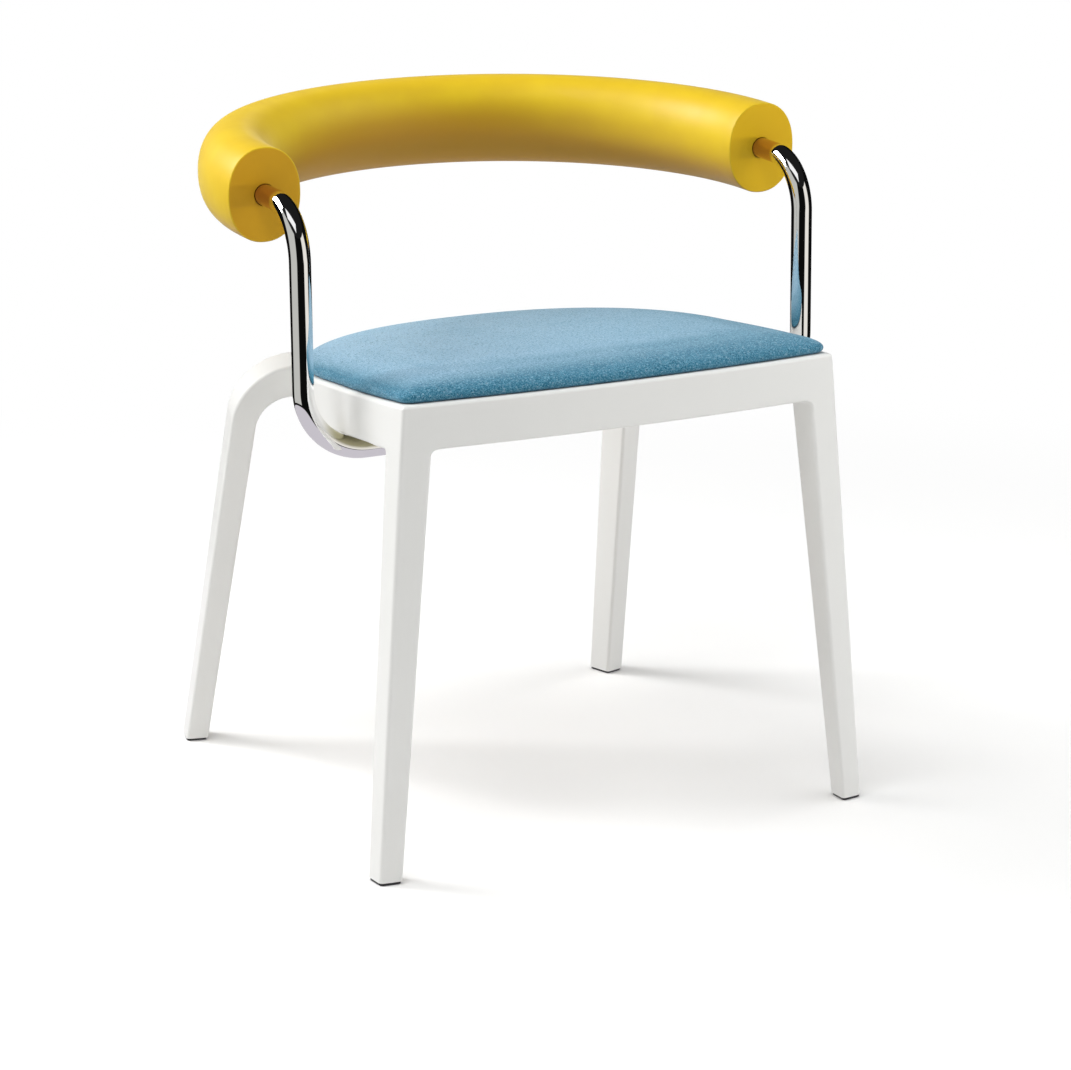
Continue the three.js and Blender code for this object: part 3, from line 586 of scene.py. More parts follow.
def skin_over(name, loops, capped=True):
    count = len(loops[0])
    faces = []
    for row in range(len(loops) - 1):
        for i in range(count):
            a = row * count + i
            b = row * count + (i + 1) % count
            faces.append((a, b, b + count, a + count))
    if capped:
        last = (len(loops) - 1) * count
        faces.append(tuple(reversed(range(count))))
        faces.append(tuple(range(last, last + count)))
    made = add_mesh(name, [point for loop in loops for point in loop], faces)
    return face_outwards(made)


def face_outwards(made):
    work = bmesh.new()
    work.from_mesh(made.data)
    bmesh.ops.recalc_face_normals(work, faces=work.faces)
    work.to_mesh(made.data)
    work.free()
    return made


def dress(made, *finishes):
    made.data.materials.clear()
    for finish in finishes:
        made.data.materials.append(finish)


def smooth(made, sharp_angle):
    made.data.shade_smooth()
    made.data.set_sharp_from_angle(angle=sharp_angle)


def baked(made):
    """Puts a piece's modifiers into its mesh."""
    graph = bpy.context.evaluated_depsgraph_get()
    mesh = bpy.data.meshes.new_from_object(made.evaluated_get(graph))
    old = made.data
    made.modifiers.clear()
    made.data = mesh
    bpy.data.meshes.remove(old)
    return made


def combine(body, tool, operation):
    step = body.modifiers.new("step", "BOOLEAN")
    step.operation = operation
    step.solver = "MANIFOLD"
    step.object = tool
    baked(body)
    bpy.data.objects.remove(tool)


def ease(value, start, end):
    share = min(max((value - start) / (end - start), 0), 1)
    return share * share * (3 - 2 * share)


def lerp(first, second, share):
    return first + (second - first) * share


def arc_shares(steps):
    """How far in and how far along a quarter round lies, from its start to its end."""
    turns = [math.pi / 2 * k / steps for k in range(steps + 1)]
    return [(1 - math.sin(turn), 1 - math.cos(turn)) for turn in turns]


# The moulded frame: seat ring, legs and the cuts in them


def top_z(y):
    return FRAME_CORNER_TOP_Z - SEAT_SLOPE * (y - FRAME_CORNER_Y)


def underside_z(y):
    return top_z(y) - RING_HEIGHT


def seat_outline(inset, corner_radius):
    half_width = FRAME_HALF_WIDTH - inset
    front_y = FRAME_FRONT_Y + inset
    corner_y = front_y + FRONT_BOW

    def bow_at(x):
        return Vector((x, front_y + FRONT_BOW * (x / half_width) ** 2))

    def side_at(y):
        share = (y - corner_y) / (BACK_CENTRE_Y - corner_y)
        return Vector((half_width + SIDE_BOW * math.sin(math.pi * share), y))

    bow_end = bow_at(half_width - corner_radius)
    corner = Vector((half_width, corner_y))
    side_start = side_at(corner_y + corner_radius)
    half = [bow_at(bow_end.x * i / BOW_STEPS) for i in range(BOW_STEPS)]
    for i in range(CORNER_STEPS + 1):
        share = i / CORNER_STEPS
        half.append(lerp(lerp(bow_end, corner, share), lerp(corner, side_start, share), share))
    half += [side_at(lerp(side_start.y, BACK_CENTRE_Y, i / SIDE_STEPS)) for i in range(1, SIDE_STEPS)]
    for i in range(BACK_STEPS + 1):
        angle = math.pi / 2 * i / BACK_STEPS
        across = max(math.cos(angle), 0) ** (2 / BACK_POWER)
        back = math.sin(angle) ** (2 / BACK_POWER)
        x = 0 if i == BACK_STEPS else half_width * across
        half.append(Vector((x, BACK_CENTRE_Y + (BACK_DEPTH - inset) * back)))
    return half + [Vector((-point.x, point.y)) for point in reversed(half[1:-1])]


def laid(points, drop):
    return [Vector((point.x, point.y, top_z(point.y) - drop)) for point in points]


def slab(name, points, top_drop, bottom_drop):
    return skin_over(name, [laid(points, bottom_drop), laid(points, top_drop)])


FRONT_LEAN = (FRONT_SPLAY[0] / FRAME_CORNER_TOP_Z, FRONT_SPLAY[1] / FRAME_CORNER_TOP_Z)


def ring_loop(inset, drop):
    leg = FRAME_HALF_WIDTH - FRONT_TOP[0]
    points = []
    for point in seat_outline(inset, LEG_EDGE_RADIUS):
        near_leg = ease(abs(point.x), leg - FRONT_TOP[0], leg)
        behind = ease(point.y, LEG_BLEND_START_Y, LEG_BLEND_START_Y + LEG_BLEND_LENGTH)
        lean = drop * near_leg * (1 - behind)
        x = point.x + math.copysign(FRONT_LEAN[0] * lean, point.x) if point.x else 0
        points.append(Vector((x, point.y + FRONT_LEAN[1] * lean)))
    return laid(points, drop)


def ring_slab():
    low = [
        (a * RING_BOTTOM_ROUND, RING_HEIGHT - b * RING_BOTTOM_ROUND)
        for a, b in arc_shares(RING_BOTTOM_STEPS)
    ]
    high = [(a * RING_TOP_ROUND, b * RING_TOP_ROUND) for a, b in arc_shares(RING_TOP_STEPS)]
    middle = [
        (0, lerp(RING_HEIGHT - RING_BOTTOM_ROUND, RING_TOP_ROUND, k / RING_WALL_STEPS))
        for k in range(1, RING_WALL_STEPS)
    ]
    levels = low + middle + high[::-1]
    return skin_over("moulded_frame", [ring_loop(inset, drop) for inset, drop in levels])


def leg_section(width, depth):
    """A leg's cross-section: a rectangle with rounded corners."""
    points = []
    for sx, sy, quarter in [(1, 1, 0), (-1, 1, 1), (-1, -1, 2), (1, -1, 3)]:
        for k in range(LEG_EDGE_STEPS + 1):
            angle = math.pi / 2 * (quarter + k / LEG_EDGE_STEPS)
            x = sx * (width / 2 - LEG_EDGE_RADIUS) + LEG_EDGE_RADIUS * math.cos(angle)
            y = sy * (depth / 2 - LEG_EDGE_RADIUS) + LEG_EDGE_RADIUS * math.sin(angle)
            points.append(Vector((x, y)))
    return points


# The ring's front and sides run on into the faces of the front legs.
FRONT_FACE_SLOPE = 2 * FRONT_BOW * (FRAME_HALF_WIDTH - FRONT_TOP[0] / 2) / FRAME_HALF_WIDTH**2
SIDE_FACE_SLOPE = math.pi * SIDE_BOW / (BACK_CENTRE_Y - FRAME_CORNER_Y)


def front_leg(side):
    """A leg from the floor up into the ring, where it widens into a small fillet."""
    rail_z = FRAME_CORNER_TOP_Z - RING_HEIGHT
    inside_z = FRAME_CORNER_TOP_Z - RING_HEIGHT / 2

    def loop(z, grown, sunk):
        drop = FRAME_CORNER_TOP_Z - z
        share = z / rail_z
        width = lerp(FRONT_FOOT[0], FRONT_TOP[0], share)
        depth = lerp(FRONT_FOOT[1], FRONT_TOP[1], share)
        outer_x = FRAME_HALF_WIDTH + FRONT_LEAN[0] * drop
        front_y = FRAME_CORNER_Y + FRONT_LEAN[1] * drop
        x = outer_x - width / 2 - grown / 2
        y = front_y + depth / 2 + grown / 2
        wide, deep = width + grown - 2 * sunk, depth + grown - 2 * sunk
        slant = lerp(FRONT_SLANT[0], FRONT_SLANT[1], share)
        points = []
        for p in leg_section(wide, deep):
            inward = outer_x - (x + p.x)
            behind = y + p.y - front_y
            px = x + p.x + SIDE_FACE_SLOPE * behind - slant * (0.5 - p.x / wide) * (0.5 + p.y / deep)
            points.append(Vector((side * px, y + p.y - FRONT_FACE_SLOPE * inward, z)))
        return points

    levels = [(GLIDE_HEIGHT + SEATED_GAP, 0, 0)]
    levels += [(rail_z * k / FRONT_LEG_STEPS, 0, 0) for k in range(1, FRONT_LEG_STEPS)]
    for below, grown in arc_shares(LEG_FILLET_STEPS):
        levels.append((rail_z - LEG_FILLET_RADIUS * below, LEG_FILLET_RADIUS * grown, 0))
    levels.append((rail_z + RING_BOTTOM_ROUND, LEG_FILLET_RADIUS, 0))
    levels.append((inside_z, LEG_FILLET_RADIUS, RING_BOTTOM_ROUND / 2))
    return skin_over("front_leg", [loop(*level) for level in levels])


def bent_path(points, radii, steps):
    """Places on straights between points, with a round bend of a given radius at each inner point."""
    places = [(points[0], (points[1] - points[0]).normalized())]
    for i in range(1, len(points) - 1):
        into = (points[i] - points[i - 1]).normalized()
        out = (points[i + 1] - points[i]).normalized()
        axis = into.cross(out).normalized()
        angle = into.angle(out)
        radius = radii[i - 1]
        start = points[i] - into * radius * math.tan(angle / 2)
        centre = start + axis.cross(into) * radius
        for k in range(steps + 1):
            turn = Matrix.Rotation(angle * k / steps, 3, axis)
            places.append((centre + turn @ (start - centre), turn @ into))
    places.append((points[-1], (points[-1] - points[-2]).normalized()))
    return places


def rear_leg(side):
    """A leg that leans and turns outwards, bends over its knee and runs into the ring."""
    foot = Vector((side * REAR_FOOT_AT[0], REAR_FOOT_AT[1], 0))
    inward = Vector((-side * math.cos(REAR_TURN), -math.sin(REAR_TURN), 0))
    forward = Vector((side * math.sin(REAR_TURN), -math.cos(REAR_TURN), 0))
    rise = (forward * REAR_LEAN + UP).normalized()
    normal = inward.cross(rise)
    knee_height = (FRAME_CORNER_TOP_Z - REAR_KNEE_DROP) / rise.z

    def at(reach, height):
        return foot + inward * reach + rise * height

    knee = at(REAR_KNEE_INSET, knee_height)
    shank = (knee - foot).normalized()
    shoulder = at(REAR_SHOULDER_REACH, knee_height + REAR_SHOULDER_RISE)
    places = bent_path([foot, knee, shoulder], [REAR_BEND_RADIUS], REAR_BEND_STEPS)
    bend = len(places) - 3
    loops = []
    for i, (point, along) in enumerate(places):
        turn = min(max((i - 1) / bend, 0), 1)
        if i == 0:
            width, depth = REAR_FOOT
        else:
            width = lerp(REAR_SHANK[0], REAR_SHOULDER[0], turn)
            depth = lerp(REAR_SHANK[1], REAR_SHOULDER[1], turn)
        across = normal.cross(along)
        loop = [point + across * p.x + normal * p.y for p in leg_section(width, depth)]
        if i == 0:
            floor_z = GLIDE_HEIGHT + SEATED_GAP
            loop = [p + shank * ((floor_z - p.z) / shank.z) for p in loop]
        loops.append(loop)
    for k in range(1, REAR_SHANK_STEPS):
        loops.insert(k, [lerp(a, b, k / REAR_SHANK_STEPS) for a, b in zip(loops[0], loops[k])])
    return skin_over("rear_leg", loops)


def rod(radius, x, y, low_z, high_z):
    ring = [Vector((radius * math.cos(a), radius * math.sin(a))) for a in turns(BORE_SIDES)]
    return skin_over("rod", [[Vector((x + p.x, y + p.y, z)) for p in ring] for z in (low_z, high_z)])


def turns(count):
    return [2 * math.pi * i / count for i in range(count)]


def moulded_frame():
    """Ring and legs joined, with the pad's recess, the opening round the beam, and the bores."""
    body = ring_slab()
    for side in (1, -1):
        combine(body, front_leg(side), "UNION")
        combine(body, rear_leg(side), "UNION")
    pocket = slab("pocket", seat_outline(LAND_WIDTH, POCKET_CORNER_RADIUS), -CUT_OVERRUN, POCKET_DEPTH)
    combine(body, pocket, "DIFFERENCE")
    outline = seat_outline(OPENING_INSET, OPENING_CORNER_RADIUS)
    opening = slab("opening", outline, 0, RING_HEIGHT + CUT_OVERRUN)
    across = [Vector((sx * FRAME_HALF_WIDTH, BEAM_Y + sy * BEAM_WIDTH / 2)) for sx, sy in SQUARE]
    combine(opening, slab("beam", across, -CUT_OVERRUN, RING_HEIGHT + CUT_OVERRUN * 2), "DIFFERENCE")
    combine(body, opening, "DIFFERENCE")
    front_y = FRAME_FRONT_Y + FRONT_BOW * (SCREW_FRONT_X / FRAME_HALF_WIDTH) ** 2 + SCREW_FRONT_INSET
    for side in (1, -1):
        for x, y in ((SCREW_FRONT_X, front_y), SCREW_REAR_AT):
            low = underside_z(y) - CUT_OVERRUN
            seat = underside_z(y) + SCREW_COUNTERBORE
            combine(body, rod(SCREW_SHANK + SEATED_GAP, side * x, y, low, top_z(y)), "DIFFERENCE")
            combine(body, rod(SCREW_HEAD + SEATED_GAP, side * x, y, low, seat), "DIFFERENCE")
        for x in ARM_BOLT_X:
            low = underside_z(UPRIGHT_Y) - CUT_OVERRUN
            high = underside_z(UPRIGHT_Y) + INSERT_LENGTH + SEATED_GAP * 2
            combine(body, rod(INSERT_RADIUS + SEATED_GAP, side * x, UPRIGHT_Y, low, high), "DIFFERENCE")
    dress(body, FINISHES["white_moulding"])
    smooth(body, FRAME_SHARP_ANGLE)
    even = body.modifiers.new("even_normals", "WEIGHTED_NORMAL")
    even.keep_sharp = True
    return body


# The seat pad's cover. Its sizes follow from the ring's.

PAD_INSET = LAND_WIDTH + PAD_GAP
PAD_HALF_WIDTH = FRAME_HALF_WIDTH - PAD_INSET
PAD_FRONT_Y = FRAME_FRONT_Y + PAD_INSET
PAD_BACK_Y = BACK_CENTRE_Y + BACK_DEPTH - PAD_INSET
PAD_MIDDLE_Y = (PAD_FRONT_Y + PAD_BACK_Y) / 2
PAD_FLOOR = -POCKET_DEPTH + SEATED_GAP
PAD_BULGE_SHARE = PAD_SIDE_BULGE / PAD_HALF_WIDTH
HEM_SHARE = HEM_WIDTH / PAD_HALF_WIDTH


def pad_loop(share, height):
    above = ease(height, 0, PAD_EDGE_RISE)
    points = []
    for point in seat_outline(PAD_INSET, PAD_CORNER_RADIUS):
        side = 1 - (2 * (point.y - PAD_MIDDLE_Y) / (PAD_BACK_Y - PAD_FRONT_Y)) ** 2
        front = 1 - (point.x / PAD_HALF_WIDTH) ** 2 if point.y < FRAME_CORNER_Y + PAD_INSET else 0
        draw = PAD_SIDE_DRAW * above * max(side * ease(abs(point.x), 0, PAD_HALF_WIDTH), front)
        keep = (1 - share) * (1 - draw / PAD_HALF_WIDTH)
        points.append(Vector((point.x * keep, PAD_MIDDLE_Y + (point.y - PAD_MIDDLE_Y) * keep)))
    return laid(points, -height)


def pad_rise(share):
    edge = 1 - min(share / PAD_EDGE_SHARE, 1)
    rounded = (1 - edge**PAD_EDGE_POWER) ** (1 / PAD_EDGE_POWER)
    side = PAD_BULGE_HEIGHT + (PAD_EDGE_RISE - PAD_BULGE_HEIGHT) * rounded
    return side + PAD_CROWN_RISE * (1 - (1 - share) ** 2)


def pad_form(sink):
    """The pad's closed outside, from the middle of its underside to the middle of its top."""
    under = (*PAD_UNDERSIDE_SHARES, HEM_SHARE, PAD_FOOT_SHARE)
    loops = [pad_loop(share, PAD_FLOOR) for share in under]
    loops.append(pad_loop(0, PAD_FLOOR + PAD_FOOT_ROUND))
    loops += [pad_loop(0, PAD_FLOOR * (1 - k / PAD_WALL_STEPS)) for k in range(1, PAD_WALL_STEPS)]
    bulge = PAD_BULGE_SHARE - sink / PAD_HALF_WIDTH
    for k in range(PAD_BULGE_STEPS + 1):
        turn = math.pi / 2 * k / PAD_BULGE_STEPS
        loops.append(pad_loop(-bulge * math.sin(turn), PAD_BULGE_HEIGHT * (1 - math.cos(turn))))
    for k in range(1, PAD_TOP_STEPS + 1):
        share = PAD_TOP_SHARE * (k / PAD_TOP_STEPS) ** 2
        sunk = sink * ease(share, 0, PAD_EDGE_SHARE / 2)
        loops.append(pad_loop(share - bulge, pad_rise(share) - sunk))
    return skin_over("seat_pad_cover", loops)


def above_ring(point):
    return point.z - top_z(point.y)


def swell(form):
    """Fills the form like a cushion, with its lower edge held in the ring's recess."""
    start = [vertex.co.copy() for vertex in form.data.vertices]
    held = form.vertex_groups.new(name="held")
    for i, point in enumerate(start):
        weight = 1 - ease(above_ring(point), PAD_HELD_ABOVE, PAD_FREE_ABOVE)
        held.add([i], weight, "REPLACE")
    cloth = form.modifiers.new("filling", "CLOTH")
    for key, value in PAD_CLOTH.items():
        setattr(cloth.settings, key, value)
    cloth.settings.vertex_group_mass = held.name
    cloth.settings.effector_weights.gravity = 0
    cloth.collision_settings.use_collision = False
    cloth.point_cache.frame_start = 1
    cloth.point_cache.frame_end = PAD_FRAMES
    scene = bpy.context.scene
    for number in range(1, PAD_FRAMES + 1):
        scene.frame_set(number)
    baked(form)
    scene.frame_set(1)
    form.vertex_groups.clear()
    moves = [vertex.co - point for vertex, point in zip(form.data.vertices, start)]
    for move in moves:
        if move.length > PAD_MOST_MOVE:
            move.length = PAD_MOST_MOVE
    for vertex, point, move in zip(form.data.vertices, start, eased_moves(form, moves)):
        vertex.co = point + move


def eased_moves(form, moves):
    """Spreads each point's move over its neighbours, so that the filling leaves no small folds."""
    beside = [[] for _ in moves]
    for edge in form.data.edges:
        a, b = edge.vertices
        beside[a].append(b)
        beside[b].append(a)
    for _ in range(PAD_EASE_ROUNDS):
        spread = []
        for own, near in zip(moves, beside):
            mean = sum((moves[i] for i in near), Vector()) / max(len(near), 1)
            spread.append(own.lerp(mean, 0.5))
        moves = spread
    return moves


def take_filling(cover, filled):
    """Moves the clean cover out to the filled form, by no more than a cap that shrinks to nothing at
    the seam, so that the edge runs even."""
    points = [vertex.co for vertex in filled.data.vertices]
    tree = BVHTree.FromPolygons(points, [face.vertices for face in filled.data.polygons])
    bpy.data.objects.remove(filled)
    moves = []
    for vertex in cover.data.vertices:
        place, _, _, _ = tree.find_nearest(vertex.co)
        out = (place - vertex.co).dot(vertex.normal)
        most = PAD_MOST_OUT * ease(above_ring(vertex.co), PAD_HELD_ABOVE, PAD_FULL_ABOVE)
        moves.append(vertex.normal * min(max(out, 0), most))
    for vertex, move in zip(cover.data.vertices, eased_moves(cover, moves)):
        vertex.co += move


def pad_cover():
    cover = pad_form(0)
    filled = pad_form(PAD_START_SINK)
    remesh = filled.modifiers.new("even_mesh", "REMESH")
    remesh.mode = "VOXEL"
    remesh.voxel_size = PAD_VOXEL
    baked(filled)
    swell(filled)
    even_out(filled)
    take_filling(cover, filled)
    open_underside(cover)
    dress(cover, FINISHES["blue_fabric"])
    smooth(cover, COVER_SHARP_ANGLE)
    wall = cover.modifiers.new("cloth_wall", "SOLIDIFY")
    wall.thickness = COVER_THICKNESS
    wall.offset = -1
    return baked(cover)


def even_out(made):
    """Smooths the small steps that the voxels leave above the seam."""
    every_way = {"use_axis_x": True, "use_axis_y": True, "use_axis_z": True}
    work = bmesh.new()
    work.from_mesh(made.data)
    for _ in range(PAD_SMOOTH_ROUNDS):
        free = [vertex for vertex in work.verts if above_ring(vertex.co) > PAD_FREE_ABOVE]
        bmesh.ops.smooth_vert(work, verts=free, factor=0.5, **every_way)
    work.to_mesh(made.data)
    work.free()


def open_underside(made):
    """Takes away the flat underside, except for the hem that is turned under the board."""
    work = bmesh.new()
    work.from_mesh(made.data)
    hem = pad_loop(HEM_SHARE, PAD_FLOOR)
    inner = []
    for face in work.faces:
        centre = face.calc_center_median()
        flat = above_ring(centre) < PAD_FLOOR + PAD_HELD_ABOVE and face.normal.z < -0.9
        if flat and inside_loop(centre, hem):
            inner.append(face)
    bmesh.ops.delete(work, geom=inner, context="FACES")
    work.to_mesh(made.data)
    work.free()


def inside_loop(point, loop):
    """Whether a point lies inside a closed plan outline."""
    inside = False
    for a, b in zip(loop, loop[1:] + loop[:1]):
        if (a.y > point.y) != (b.y > point.y):
            crossing = a.x + (b.x - a.x) * (point.y - a.y) / (b.y - a.y)
            inside = inside != (point.x < crossing)
    return inside


# The arm tube and the foam roll on it


def arm_height_at(y):
    return ROLL_END_HEIGHT + ROLL_SLOPE * (y - ROLL_END_Y)


def horseshoe(steps):
    """Places on the half circle round the back, from the left arm to the right one."""
    places = []
    for i in range(steps + 1):
        angle = math.pi * i / steps
        y = ROLL_CENTRE_Y + TUBE_HALF_SPAN * math.sin(angle)
        along = Vector((math.sin(angle), math.cos(angle), ROLL_SLOPE * math.cos(angle)))
        point = Vector((-TUBE_HALF_SPAN * math.cos(angle), y, arm_height_at(y)))
        places.append((point, along.normalized()))
    return places


def arm_line():
    corners = [
        Vector((-STUB_END_X, UPRIGHT_Y, STUB_HEIGHT)),
        Vector((-TUBE_HALF_SPAN, UPRIGHT_Y, STUB_HEIGHT)),
        Vector((-TUBE_HALF_SPAN, UPRIGHT_Y, arm_height_at(UPRIGHT_Y))),
        Vector((-TUBE_HALF_SPAN, ROLL_CENTRE_Y, arm_height_at(ROLL_CENTRE_Y))),
    ]
    left = bent_path(corners, [LOWER_BEND_RADIUS, UPPER_BEND_RADIUS], TUBE_BEND_STEPS)[:-1]
    right = []
    for point, along in reversed(left):
        right.append((Vector((-point.x, point.y, point.z)), Vector((along.x, -along.y, -along.z))))
    return left + horseshoe(TUBE_BACK_STEPS) + right


def bent_tube():
    """The whole hollow tube, from one open end under the seat round the back to the other."""
    places = arm_line()
    across = places[0][1].cross(UP).normalized()
    outer, inner = [], []
    for point, along in places:
        across = (across - along * across.dot(along)).normalized()
        other = along.cross(across)
        for loops, radius in ((outer, TUBE_RADIUS), (inner, TUBE_RADIUS - TUBE_WALL)):
            ring = [across * math.cos(a) + other * math.sin(a) for a in turns(TUBE_SIDES)]
            loops.append([point + p * radius for p in ring])
    tube = skin_over("bent_tube", outer + inner[::-1] + outer[:1], capped=False)
    weld = tube.modifiers.new("weld_seam", "WELD")
    weld.merge_threshold = WELD_DISTANCE
    baked(tube)
    for side in (1, -1):
        for x in ARM_BOLT_X:
            reach = TUBE_RADIUS + CUT_OVERRUN
            shank = (ARM_BOLT_SHANK + SEATED_GAP, STUB_HEIGHT, STUB_HEIGHT + reach)
            access = (ARM_BOLT_HEAD + SEATED_GAP, STUB_HEIGHT - reach, STUB_HEIGHT)
            for radius, low, high in (shank, access):
                combine(tube, rod(radius, side * x, UPRIGHT_Y, low, high), "DIFFERENCE")
    dress(tube, FINISHES["chromed_tube"])
    smooth(tube, TUBE_SHARP_ANGLE)
    return tube


def oval(grown, along):
    """The roll's cross-section at a place where the tube runs along a given way."""
    side = along.cross(UP).normalized()
    above = side.cross(along)
    points = []
    for turn in turns(ROLL_SIDES):
        c, s = math.cos(turn), math.sin(turn)
        x = math.copysign(abs(c) ** (2 / ROLL_POWER), c) * (ROLL_WIDTH / 2 + grown)
        y = math.copysign(abs(s) ** (2 / ROLL_POWER), s) * (ROLL_HEIGHT / 2 + grown)
        points.append(side * x + above * y)
    return points


def foam_roll():
    """The roll from its left end to its right one, each end flat with a short bore for the tube."""
    arc = horseshoe(ROLL_BACK_STEPS)
    first = (Vector((-TUBE_HALF_SPAN, ROLL_END_Y, ROLL_END_HEIGHT)), arc[0][1])
    last = (Vector((TUBE_HALF_SPAN, ROLL_END_Y, ROLL_END_HEIGHT)), arc[-1][1])

    def end_loops(point, along, inside):
        circle = [p.normalized() * ROLL_BORE_RADIUS for p in oval(0, along)]
        rim = oval(-ROLL_RIM_ROUND, along)
        loops = [[point + inside * ROLL_BORE_DEPTH + p for p in circle]]
        for k in range(ROLL_END_STEPS + 1):
            loops.append([point + lerp(a, b, k / ROLL_END_STEPS) for a, b in zip(circle, rim)])
        for inset, ahead in arc_shares(ROLL_END_STEPS)[1:]:
            step = point + inside * ROLL_RIM_ROUND * ahead
            loops.append([step + p for p in oval(-ROLL_RIM_ROUND * inset, along)])
        return loops

    front = end_loops(first[0], first[1], first[1])
    back = end_loops(last[0], last[1], -last[1])
    middle = [[point + p for p in oval(0, along)] for point, along in arc]
    roll = skin_over("foam_roll", front + middle + back[::-1], capped=False)
    dress(roll, FINISHES["yellow_foam"], CUT_END)
    flat_rows = ROLL_END_STEPS + 1
    rows = len(front) + len(middle) + len(back) - 1
    for face in roll.data.polygons:
        row = face.index // len(middle[0])
        if min(row, rows - 1 - row) < flat_rows:
            face.material_index = 1
    smooth(roll, ROLL_SHARP_ANGLE)
    return roll


# The studio: what chrome mirrors, the world, the floor and the lamps


def surround(f, x, y):
    """What the chrome mirrors at eye level: pale and dark walls, by compass direction."""
    round_share = y.maths("ARCTAN2", x) / (2 * math.pi) + 0.5
    dark, soft, white = MIRRORED_DARK, (0.55, 0.55, 0.52, 1), (0.86, 0.83, 0.77, 1)
    stops = [
        (0.0, soft),
        (0.092, soft),
        (0.1, dark),
        (0.285, dark),
        (0.293, white),
        (0.4, white),
        (0.408, dark),
        (0.902, dark),
        (0.91, soft),
        (1.0, soft),
    ]
    return f.ramp(round_share, stops)


# Light from all round, the floor for each kind of ray and where it turns white. In what chrome mirrors
# the floor ends at an edge, and the wall stands a gap behind it.
AMBIENT_LOW = (0.255, 0.255, 0.255, 1)
AMBIENT_HIGH = (0.35, 0.36, 0.36, 1)
FLOOR_SEEN = (0.985, 0.98, 0.975, 1)
FLOOR_BOUNCE = (0.68, 0.67, 0.655, 1)
FLOOR_MIRRORED = (0.62, 0.59, 0.64, 1)
MIRRORED_DARK = grey(0.004)
FLOOR_REACH = 14.0
WHITE_FROM = 0.5
WHITE_BY = 1.7
FLOOR_EDGE = 1.08
WALL_GAP = 0.1
MIRROR_EDGE = 0.02

# The panel over the chair that the tube's upper bends mirror
PANEL_WAY = Vector((-0.441, -0.262, 0.856)).normalized()
PANEL_ACROSS = PANEL_WAY.cross(UP).normalized()
PANEL_ALONG = PANEL_WAY.cross(PANEL_ACROSS)
PANEL_HALF = (0.42, 0.2)
WALL_TOP = 0.55


def ceiling(f, way):
    """A dark ceiling with one pale panel."""
    inside = f.spread(f.dot(way, UP), 0.0, 0.1)
    for axis, half in ((PANEL_ACROSS, PANEL_HALF[0]), (PANEL_ALONG, PANEL_HALF[1])):
        inside = inside * f.spread(f.dot(way, axis).maths("ABSOLUTE"), half, half - MIRROR_EDGE)
    return f.blend(inside, grey(0.012), grey(1.0))


def set_world():
    world = bpy.data.worlds.new("studio")
    bpy.context.scene.world = world
    f = Finish(world)
    way = f.add("ShaderNodeTexCoord", output="Generated")
    x, y, z = f.parts(way)
    path = f.add("ShaderNodeLightPath")
    camera = Wire(f, path.socket.node.outputs["Is Camera Ray"])
    glossy = Wire(f, path.socket.node.outputs["Is Glossy Ray"])
    ambient = f.blend(f.spread(z, -0.1, 0.9), AMBIENT_LOW, AMBIENT_HIGH)
    over_wall = f.spread(z, WALL_TOP, WALL_TOP + MIRROR_EDGE)
    mirrored = f.blend(over_wall, surround(f, x, y), ceiling(f, way))
    colour = f.blend(glossy, ambient, mirrored)
    colour = f.blend(camera, colour, grey(1.0))
    light = f.add("ShaderNodeBackground", None, {"Color": colour, "Strength": 1.0})
    f.add("ShaderNodeOutputWorld", None, {"Surface": light})


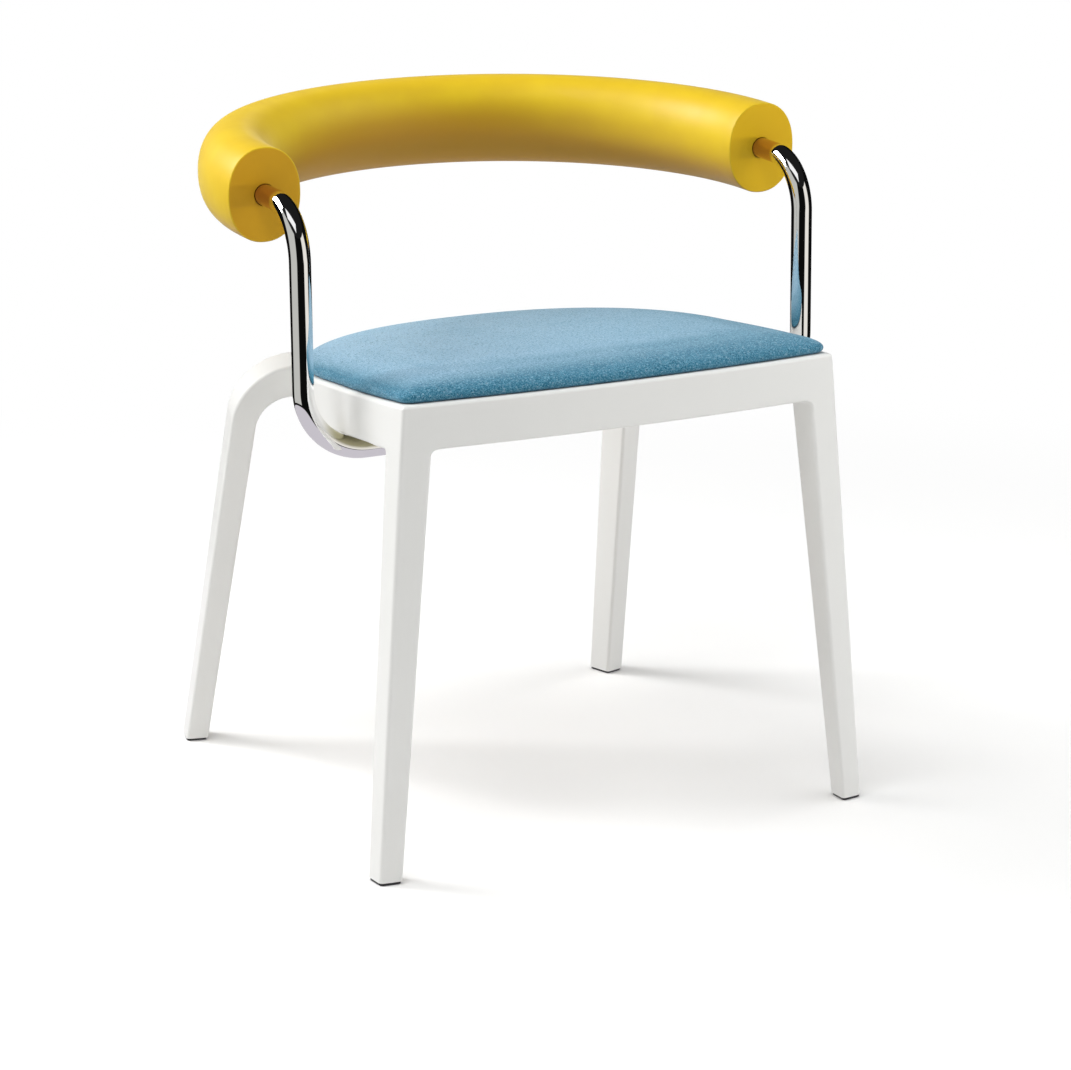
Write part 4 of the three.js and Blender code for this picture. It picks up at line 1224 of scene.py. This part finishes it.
def floor_finish():
    """A pale floor that turns white far away. Light that bounces off it and what chrome mirrors of it
    are dimmer than what the camera sees."""
    f = new_finish("studio_floor")
    where = f.add("ShaderNodeNewGeometry")
    x, y, _ = f.parts(where)
    away = (x * x + y * y) ** 0.5
    path = f.add("ShaderNodeLightPath").socket.node
    camera, glossy = Wire(f, path.outputs["Is Camera Ray"]), Wire(f, path.outputs["Is Glossy Ray"])
    paper = f.add("ShaderNodeBsdfDiffuse", None, {"Color": f.blend(camera, FLOOR_BOUNCE, FLOOR_SEEN)})
    glow = f.add("ShaderNodeEmission", None, {"Color": grey(1.0)})
    far = f.spread(away, WHITE_FROM, WHITE_BY) * camera
    shader = f.add("ShaderNodeMixShader", None, {0: far, 1: paper, 2: glow})
    rim = f.blend(f.spread(away, FLOOR_EDGE, FLOOR_EDGE + MIRROR_EDGE), FLOOR_MIRRORED, MIRRORED_DARK)
    wall_edge = FLOOR_EDGE + WALL_GAP
    wall = f.blend(f.spread(away, wall_edge, wall_edge + MIRROR_EDGE), rim, surround(f, x, y))
    edge = f.add("ShaderNodeEmission", None, {"Color": wall})
    shader = f.add("ShaderNodeMixShader", None, {0: glossy, 1: shader, 2: edge})
    f.add("ShaderNodeOutputMaterial", None, {"Surface": shader})
    return f.owner


def add_floor():
    corners = [(sx * FLOOR_REACH, sy * FLOOR_REACH, 0) for sx, sy in SQUARE]
    floor = add_mesh("studio_floor", corners, [(0, 1, 2, 3)])
    floor.data.materials.append(floor_finish())


def add_lamp(name, azimuth, elevation, distance, size, power, mirrored=False):
    """An area lamp that faces the seat. Unless it is mirrored, chrome shows the studio's own panels
    in its place."""
    lamp = bpy.data.lights.new(name, "AREA")
    lamp.shape = "RECTANGLE"
    lamp.size, lamp.size_y = size
    lamp.energy = power
    turn, lift = math.radians(azimuth), math.radians(elevation)
    way = Vector((math.cos(lift) * math.cos(turn), math.cos(lift) * math.sin(turn), math.sin(lift)))
    holder = bpy.data.objects.new(name, lamp)
    bpy.context.scene.collection.objects.link(holder)
    holder.location = SEAT_MIDDLE + way * distance
    holder.rotation_euler = way.to_track_quat("Z", "Y").to_euler()
    holder.visible_glossy = mirrored


# The scene is put together
add_camera()
set_world()
add_floor()
add_lamp("key_lamp", 139, 35, 2.8, (1.2, 1.2), 56, mirrored=True)
add_lamp("overhead_lamp", -149, 66, 2.6, (1.6, 1.0), 31.5)
add_lamp("left_fill", -155, 6, 3.0, (1.6, 1.6), 8)
add_lamp("right_fill", -12, 32, 2.6, (1.8, 1.8), 17)
add_lamp("side_strip", -50, 4, 1.6, (1.3, 0.1), 6)
bpy.context.scene.view_settings.view_transform = "Standard"

dress_solids()

shell = moulded_frame()
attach(shell, "root")
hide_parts("seat_frame")

cover = pad_cover()
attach(cover, "root")
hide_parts("seat_cover")

tube = bent_tube()
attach(tube, "root")
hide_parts("arm_tube")

roll = foam_roll()
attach(roll, "root")
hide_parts("back_roll")
